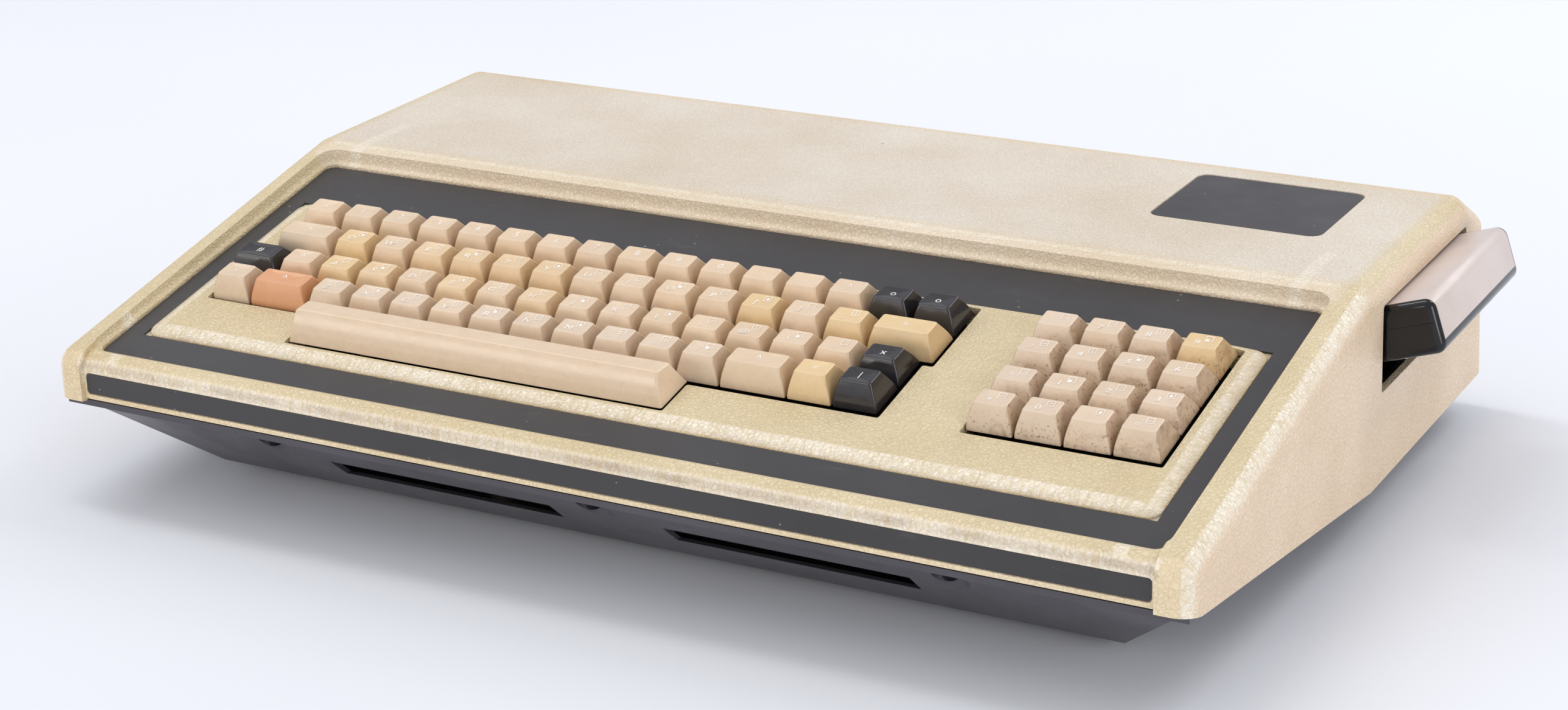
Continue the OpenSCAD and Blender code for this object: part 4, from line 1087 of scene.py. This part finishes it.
def crossHeads(material):
    # screw heads seen from below: a low domed head with a cross recess, on a plain shank
    tree, add, size = startGrowth("crossHeads", ["Radius", "Height", "Slot", "Shank", "Length"])
    drop = add("Math", {0: size["Height"], 1: -1.0}, operation="MULTIPLY")
    dome = add("Math", {0: size["Radius"], 1: 0.66}, operation="MULTIPLY")
    head = add("GeometryNodeMeshCone", {"Vertices": 24, "Radius Top": size["Radius"],
                                        "Radius Bottom": dome, "Depth": size["Height"]}, out="Mesh")
    deep = add("Math", {0: size["Height"], 1: 0.9}, operation="MULTIPLY")
    arms = []
    for x, y in ((size["Radius"], size["Slot"]), (size["Slot"], size["Radius"])):
        arm = add("CombineXYZ", {0: x, 1: y, 2: deep})
        arms.append(add("GeometryNodeMeshCube", {"Size": arm}, out="Mesh"))
    cross = add("GeometryNodeMeshBoolean", {"Mesh 2": arms}, operation="UNION")
    head = add("GeometryNodeMeshBoolean", {"Mesh 1": head, "Mesh 2": cross}, operation="DIFFERENCE")
    shank = add("GeometryNodeMeshCylinder", {"Vertices": 16, "Radius": size["Shank"],
                                             "Depth": size["Length"]}, out="Mesh")
    lift = add("Math", {0: size["Length"], 1: 0.5}, operation="MULTIPLY")
    shank = add("GeometryNodeTransform", {"Geometry": shank,
                                          "Translation": add("CombineXYZ", {2: lift})})
    head = add("GeometryNodeTransform", {"Geometry": head,
                                         "Translation": add("CombineXYZ", {2: drop})})
    whole = add("GeometryNodeJoinGeometry", {"Geometry": [head, shank]})
    return endGrowth(tree, size["Geometry"], whole, material)


def chipLegs(material):
    # two rows of flat legs beside each chip: a shoulder out of the body, and a blade down from it
    tree, add, size = startGrowth("chipLegs", ["Count", "Pitch", "HalfWidth", "Blade"])
    step = add("CombineXYZ", {0: size["Pitch"]})
    rows = []
    for side in (-1, 1):
        out = add("Math", {0: size["HalfWidth"], 1: side}, operation="MULTIPLY")
        row = add("GeometryNodeMeshLine", {"Count": size["Count"], "Offset": step})
        blade = add("GeometryNodeMeshCube", {"Size": add("CombineXYZ",
                                                         {0: size["Blade"], 1: 0.00028,
                                                          2: 0.0026})}, out="Mesh")
        shoulder = add("GeometryNodeMeshCube", {"Size": add("CombineXYZ",
                                                            {0: 0.0013, 1: 0.0009, 2: 0.0003})},
                       out="Mesh")
        shoulder = add("GeometryNodeTransform", {"Geometry": shoulder,
                                                 "Translation": (0.0, -side * 0.0003, 0.0013)})
        leg = add("GeometryNodeJoinGeometry", {"Geometry": [blade, shoulder]})
        row = add("GeometryNodeInstanceOnPoints", {"Points": row, "Instance": leg})
        rows.append(add("GeometryNodeTransform", {"Geometry": row,
                                                  "Translation": add("CombineXYZ", {1: out})}))
    both = add("GeometryNodeJoinGeometry", {"Geometry": rows})
    return endGrowth(tree, size["Geometry"], both, material)


def hexPosts(material):
    # the six-sided posts that a plug's screws go into, beside each data socket, each with its bore
    tree, add, size = startGrowth("hexPosts", ["Radius", "Depth", "Bore"])
    post = add("GeometryNodeMeshCylinder", {"Vertices": 6, "Radius": size["Radius"],
                                            "Depth": size["Depth"]}, out="Mesh")
    bore = add("GeometryNodeMeshCylinder", {"Vertices": 14, "Radius": size["Bore"],
                                            "Depth": size["Depth"]}, out="Mesh")
    half = add("Math", {0: size["Depth"], 1: 0.35}, operation="MULTIPLY")
    bore = add("GeometryNodeTransform", {"Geometry": bore,
                                         "Translation": add("CombineXYZ", {2: half})})
    post = add("GeometryNodeMeshBoolean", {"Mesh 1": post, "Mesh 2": bore}, operation="DIFFERENCE")
    post = add("GeometryNodeTransform", {"Geometry": post, "Rotation": (-math.pi / 2, 0.0, 0.0)})
    return endGrowth(tree, size["Geometry"], post, material)


fasteners = {"rear": [(-224, 138, 15.1), (224, 138, 15.1)],
             "front": [(-147, -150, 36.3), (0, -150, 36.3), (147, -150, 36.3)]}
screws = grow("CrossHeadScrews", crossHeads(finish["screw"]),
              fasteners["rear"] + fasteners["front"], {"Radius": 0.004, "Height": 0.003,
                                                       "Slot": 0.0009, "Shank": 0.0018,
                                                       "Length": 0.0118})
settle(screws, "case", "screw_steel", "case_screws")
posts = grow("SocketHexPosts", hexPosts(finish["tin"]), [(x + side * 23.3, 161.9, 43.5)
                                                         for x in (112, 40) for side in (-1, 1)],
             {"Radius": 0.0026, "Depth": 0.0046, "Bore": 0.0011})
settle(posts, "case", "socket_steel")
# kinds of chip: middles, legs on each side, half the width of the body in mm
chips = [([(-68.25 + 27 * i, -76.5 + 15 * j) for i in range(7) for j in range(7)], 7, 3.5),
         ([(-52.25, 43 + 22 * j) for j in range(4)], 20, 7.0),
         ([(5 + 36 * i, 40 + 22 * j) for i in range(3) for j in range(4)], 11, 4.0)]
legTree = chipLegs(finish["tin"])
for k, (middles, count, half) in enumerate(chips):
    start = -(count - 1) / 2 * 2.54
    legs = grow("ChipLegs" + "ABC"[k], legTree, [(x + start, y, 27.0) for x, y in middles],
                {"Count": count, "Pitch": 0.00254, "HalfWidth": (half + 0.35) / 1000,
                 "Blade": 0.0005})
    settle(legs, "case", "socket_steel")
print("fasteners ready")


# ---- base pan and the parts that keep their CAD shape ----
# node: rounding in mm, finish, material slot, segments of the rounding
rounded = {"base_pan": (1.2, "base", "base_plastic", 3),
           "badge_plate": (0.3, "panel", "dark_panel", 2),
           "rubber_feet": (0.8, "rubber", "foot_rubber", 2),
           "rear_panel": (0.3, "paint", "rear_steel", 2),
           "fuse_holder": (0.5, "fitting", "black_plastic", 2),
           "switch_frame": (0.5, "fitting", "black_plastic", 2),
           "power_rocker": (0.7, "rocker", "rocker_plastic", 3),
           "cord_gland": (0.9, "fitting", "black_plastic", 3),
           "filter_capacitors": (1.5, "sleeve", "capacitor_sleeve", 3),
           "transformer_coil": (1.5, "tape", "coil_tape", 3)}
for node, (widthMm, name, slot, segments) in rounded.items():
    body = "power_rocker" if node == "power_rocker" else "case"
    softened(node, widthMm / 1000, finish[name], slot, body, segments)
kept = {"keyboard_panel": "panel", "keyboard_plate": "plate", "keyboard_board": "board",
        "key_switches": "fitting", "bar_wire": "steel", "cartridge_board": "board",
        "cartridge_socket": "socket", "cartridge_guide": "sheet", "main_board": "board",
        "board_posts": "nylon", "board_chips": "chip", "board_parts": "tan",
        "transformer_core": "iron", "heat_sink": "anodised", "regulators": "tin",
        "data_sockets": "tin", "phono_sockets": "brass"}
for node, name in kept.items():
    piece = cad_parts[node]
    piece.data.materials.clear()
    piece.data.materials.append(finish[name])
print("kept parts dressed")


# ---- floor, light ----
def stageFloor():
    # seamless pale sheet: a wide floor that curves up behind
    rows = [(-6.0, 0.0), (-1.0, 0.0), (1.6, 0.0)]
    rows += [(1.6 + 1.2 * math.sin(math.radians(a)), 1.2 * (1 - math.cos(math.radians(a))))
             for a in range(10, 91, 10)]
    rows += [(2.8, 6.0)]
    vertices = [Vector((x, y, z)) for y, z in rows for x in (-6.0, 6.0)]
    faces = [(2 * i, 2 * i + 1, 2 * i + 3, 2 * i + 2) for i in range(len(rows) - 1)]
    floor = makeObject("paleFloor", vertices, faces, None, 60.0)
    material, add, at = startMaterial("paleBackdropPaper")
    clouds = add("TexNoise", {"Vector": at, "Scale": 2.0, "Detail": 2.0})
    base = add("ValToRGB", {"Fac": clouds}, stops=[(0.3, "#E4E6EC"), (0.7, "#E8EAEF")])
    shader = add("BsdfPrincipled", {"Base Color": base, "Roughness": 0.9})
    add("OutputMaterial", {"Surface": shader}, out=None)
    floor.data.materials.append(material)


light = {"sky": "#F6F7FB", "skyStrength": 0.75, "lamps": [  # name, place, aim, size, watts, colour
    ("overhead", (-0.8, -0.5, 1.8), (0, 0, 0), (1.6, 1.2), 1.5, "#FFFFFF"),
    ("stripTop", (-0.78, 0.15, 1.7), (0, 0, 0.08), (0.3, 1.5), 9.0, "#FFFFFF"),
    ("cardRight", (2.0, -1.0, 0.55), (0.1, 0, 0.05), (0.8, 1.2), 12.0, "#FFFFFF"),
    ("cardLow", (-1.3, -2.0, 0.4), (0, 0, 0.04), (1.6, 0.6), 13.0, "#FFFAF4"),
    # a narrow strip behind on the right: the bright line on each edge that turns to the right
    ("stripEdge", (0.8, 0.95, 1.35), (0.1, 0, 0.06), (0.14, 0.9), 4.5, "#FFFFFF"),
    ("cardBack", (0.6, 1.9, 1.3), (0, 0, 0.05), (1.6, 0.8), 8.5, "#FFFFFF")]}


def lamp(name, spot, target, size, power, colour):
    data = bpy.data.lights.new(name, "AREA")
    data.shape, data.size, data.size_y, data.energy = "RECTANGLE", size[0], size[1], power
    data.color = linear(colour)[:3]
    piece = bpy.data.objects.new(name, data)
    bpy.context.collection.objects.link(piece)
    aim = Vector(target) - Vector(spot)
    piece.matrix_world = Matrix.Translation(spot) @ aim.to_track_quat("-Z",
            "Y").to_matrix().to_4x4()


stageFloor()
world = bpy.data.worlds.new("world")
bpy.context.scene.world = world
world.use_nodes = True
world.node_tree.nodes["Background"].inputs["Color"].default_value = linear(light["sky"])
world.node_tree.nodes["Background"].inputs["Strength"].default_value = light["skyStrength"]
for name, spot, target, size, power, colour in light["lamps"]:
    lamp(name, spot, target, size, power, colour)
bpy.context.scene.view_settings.view_transform = "Standard"
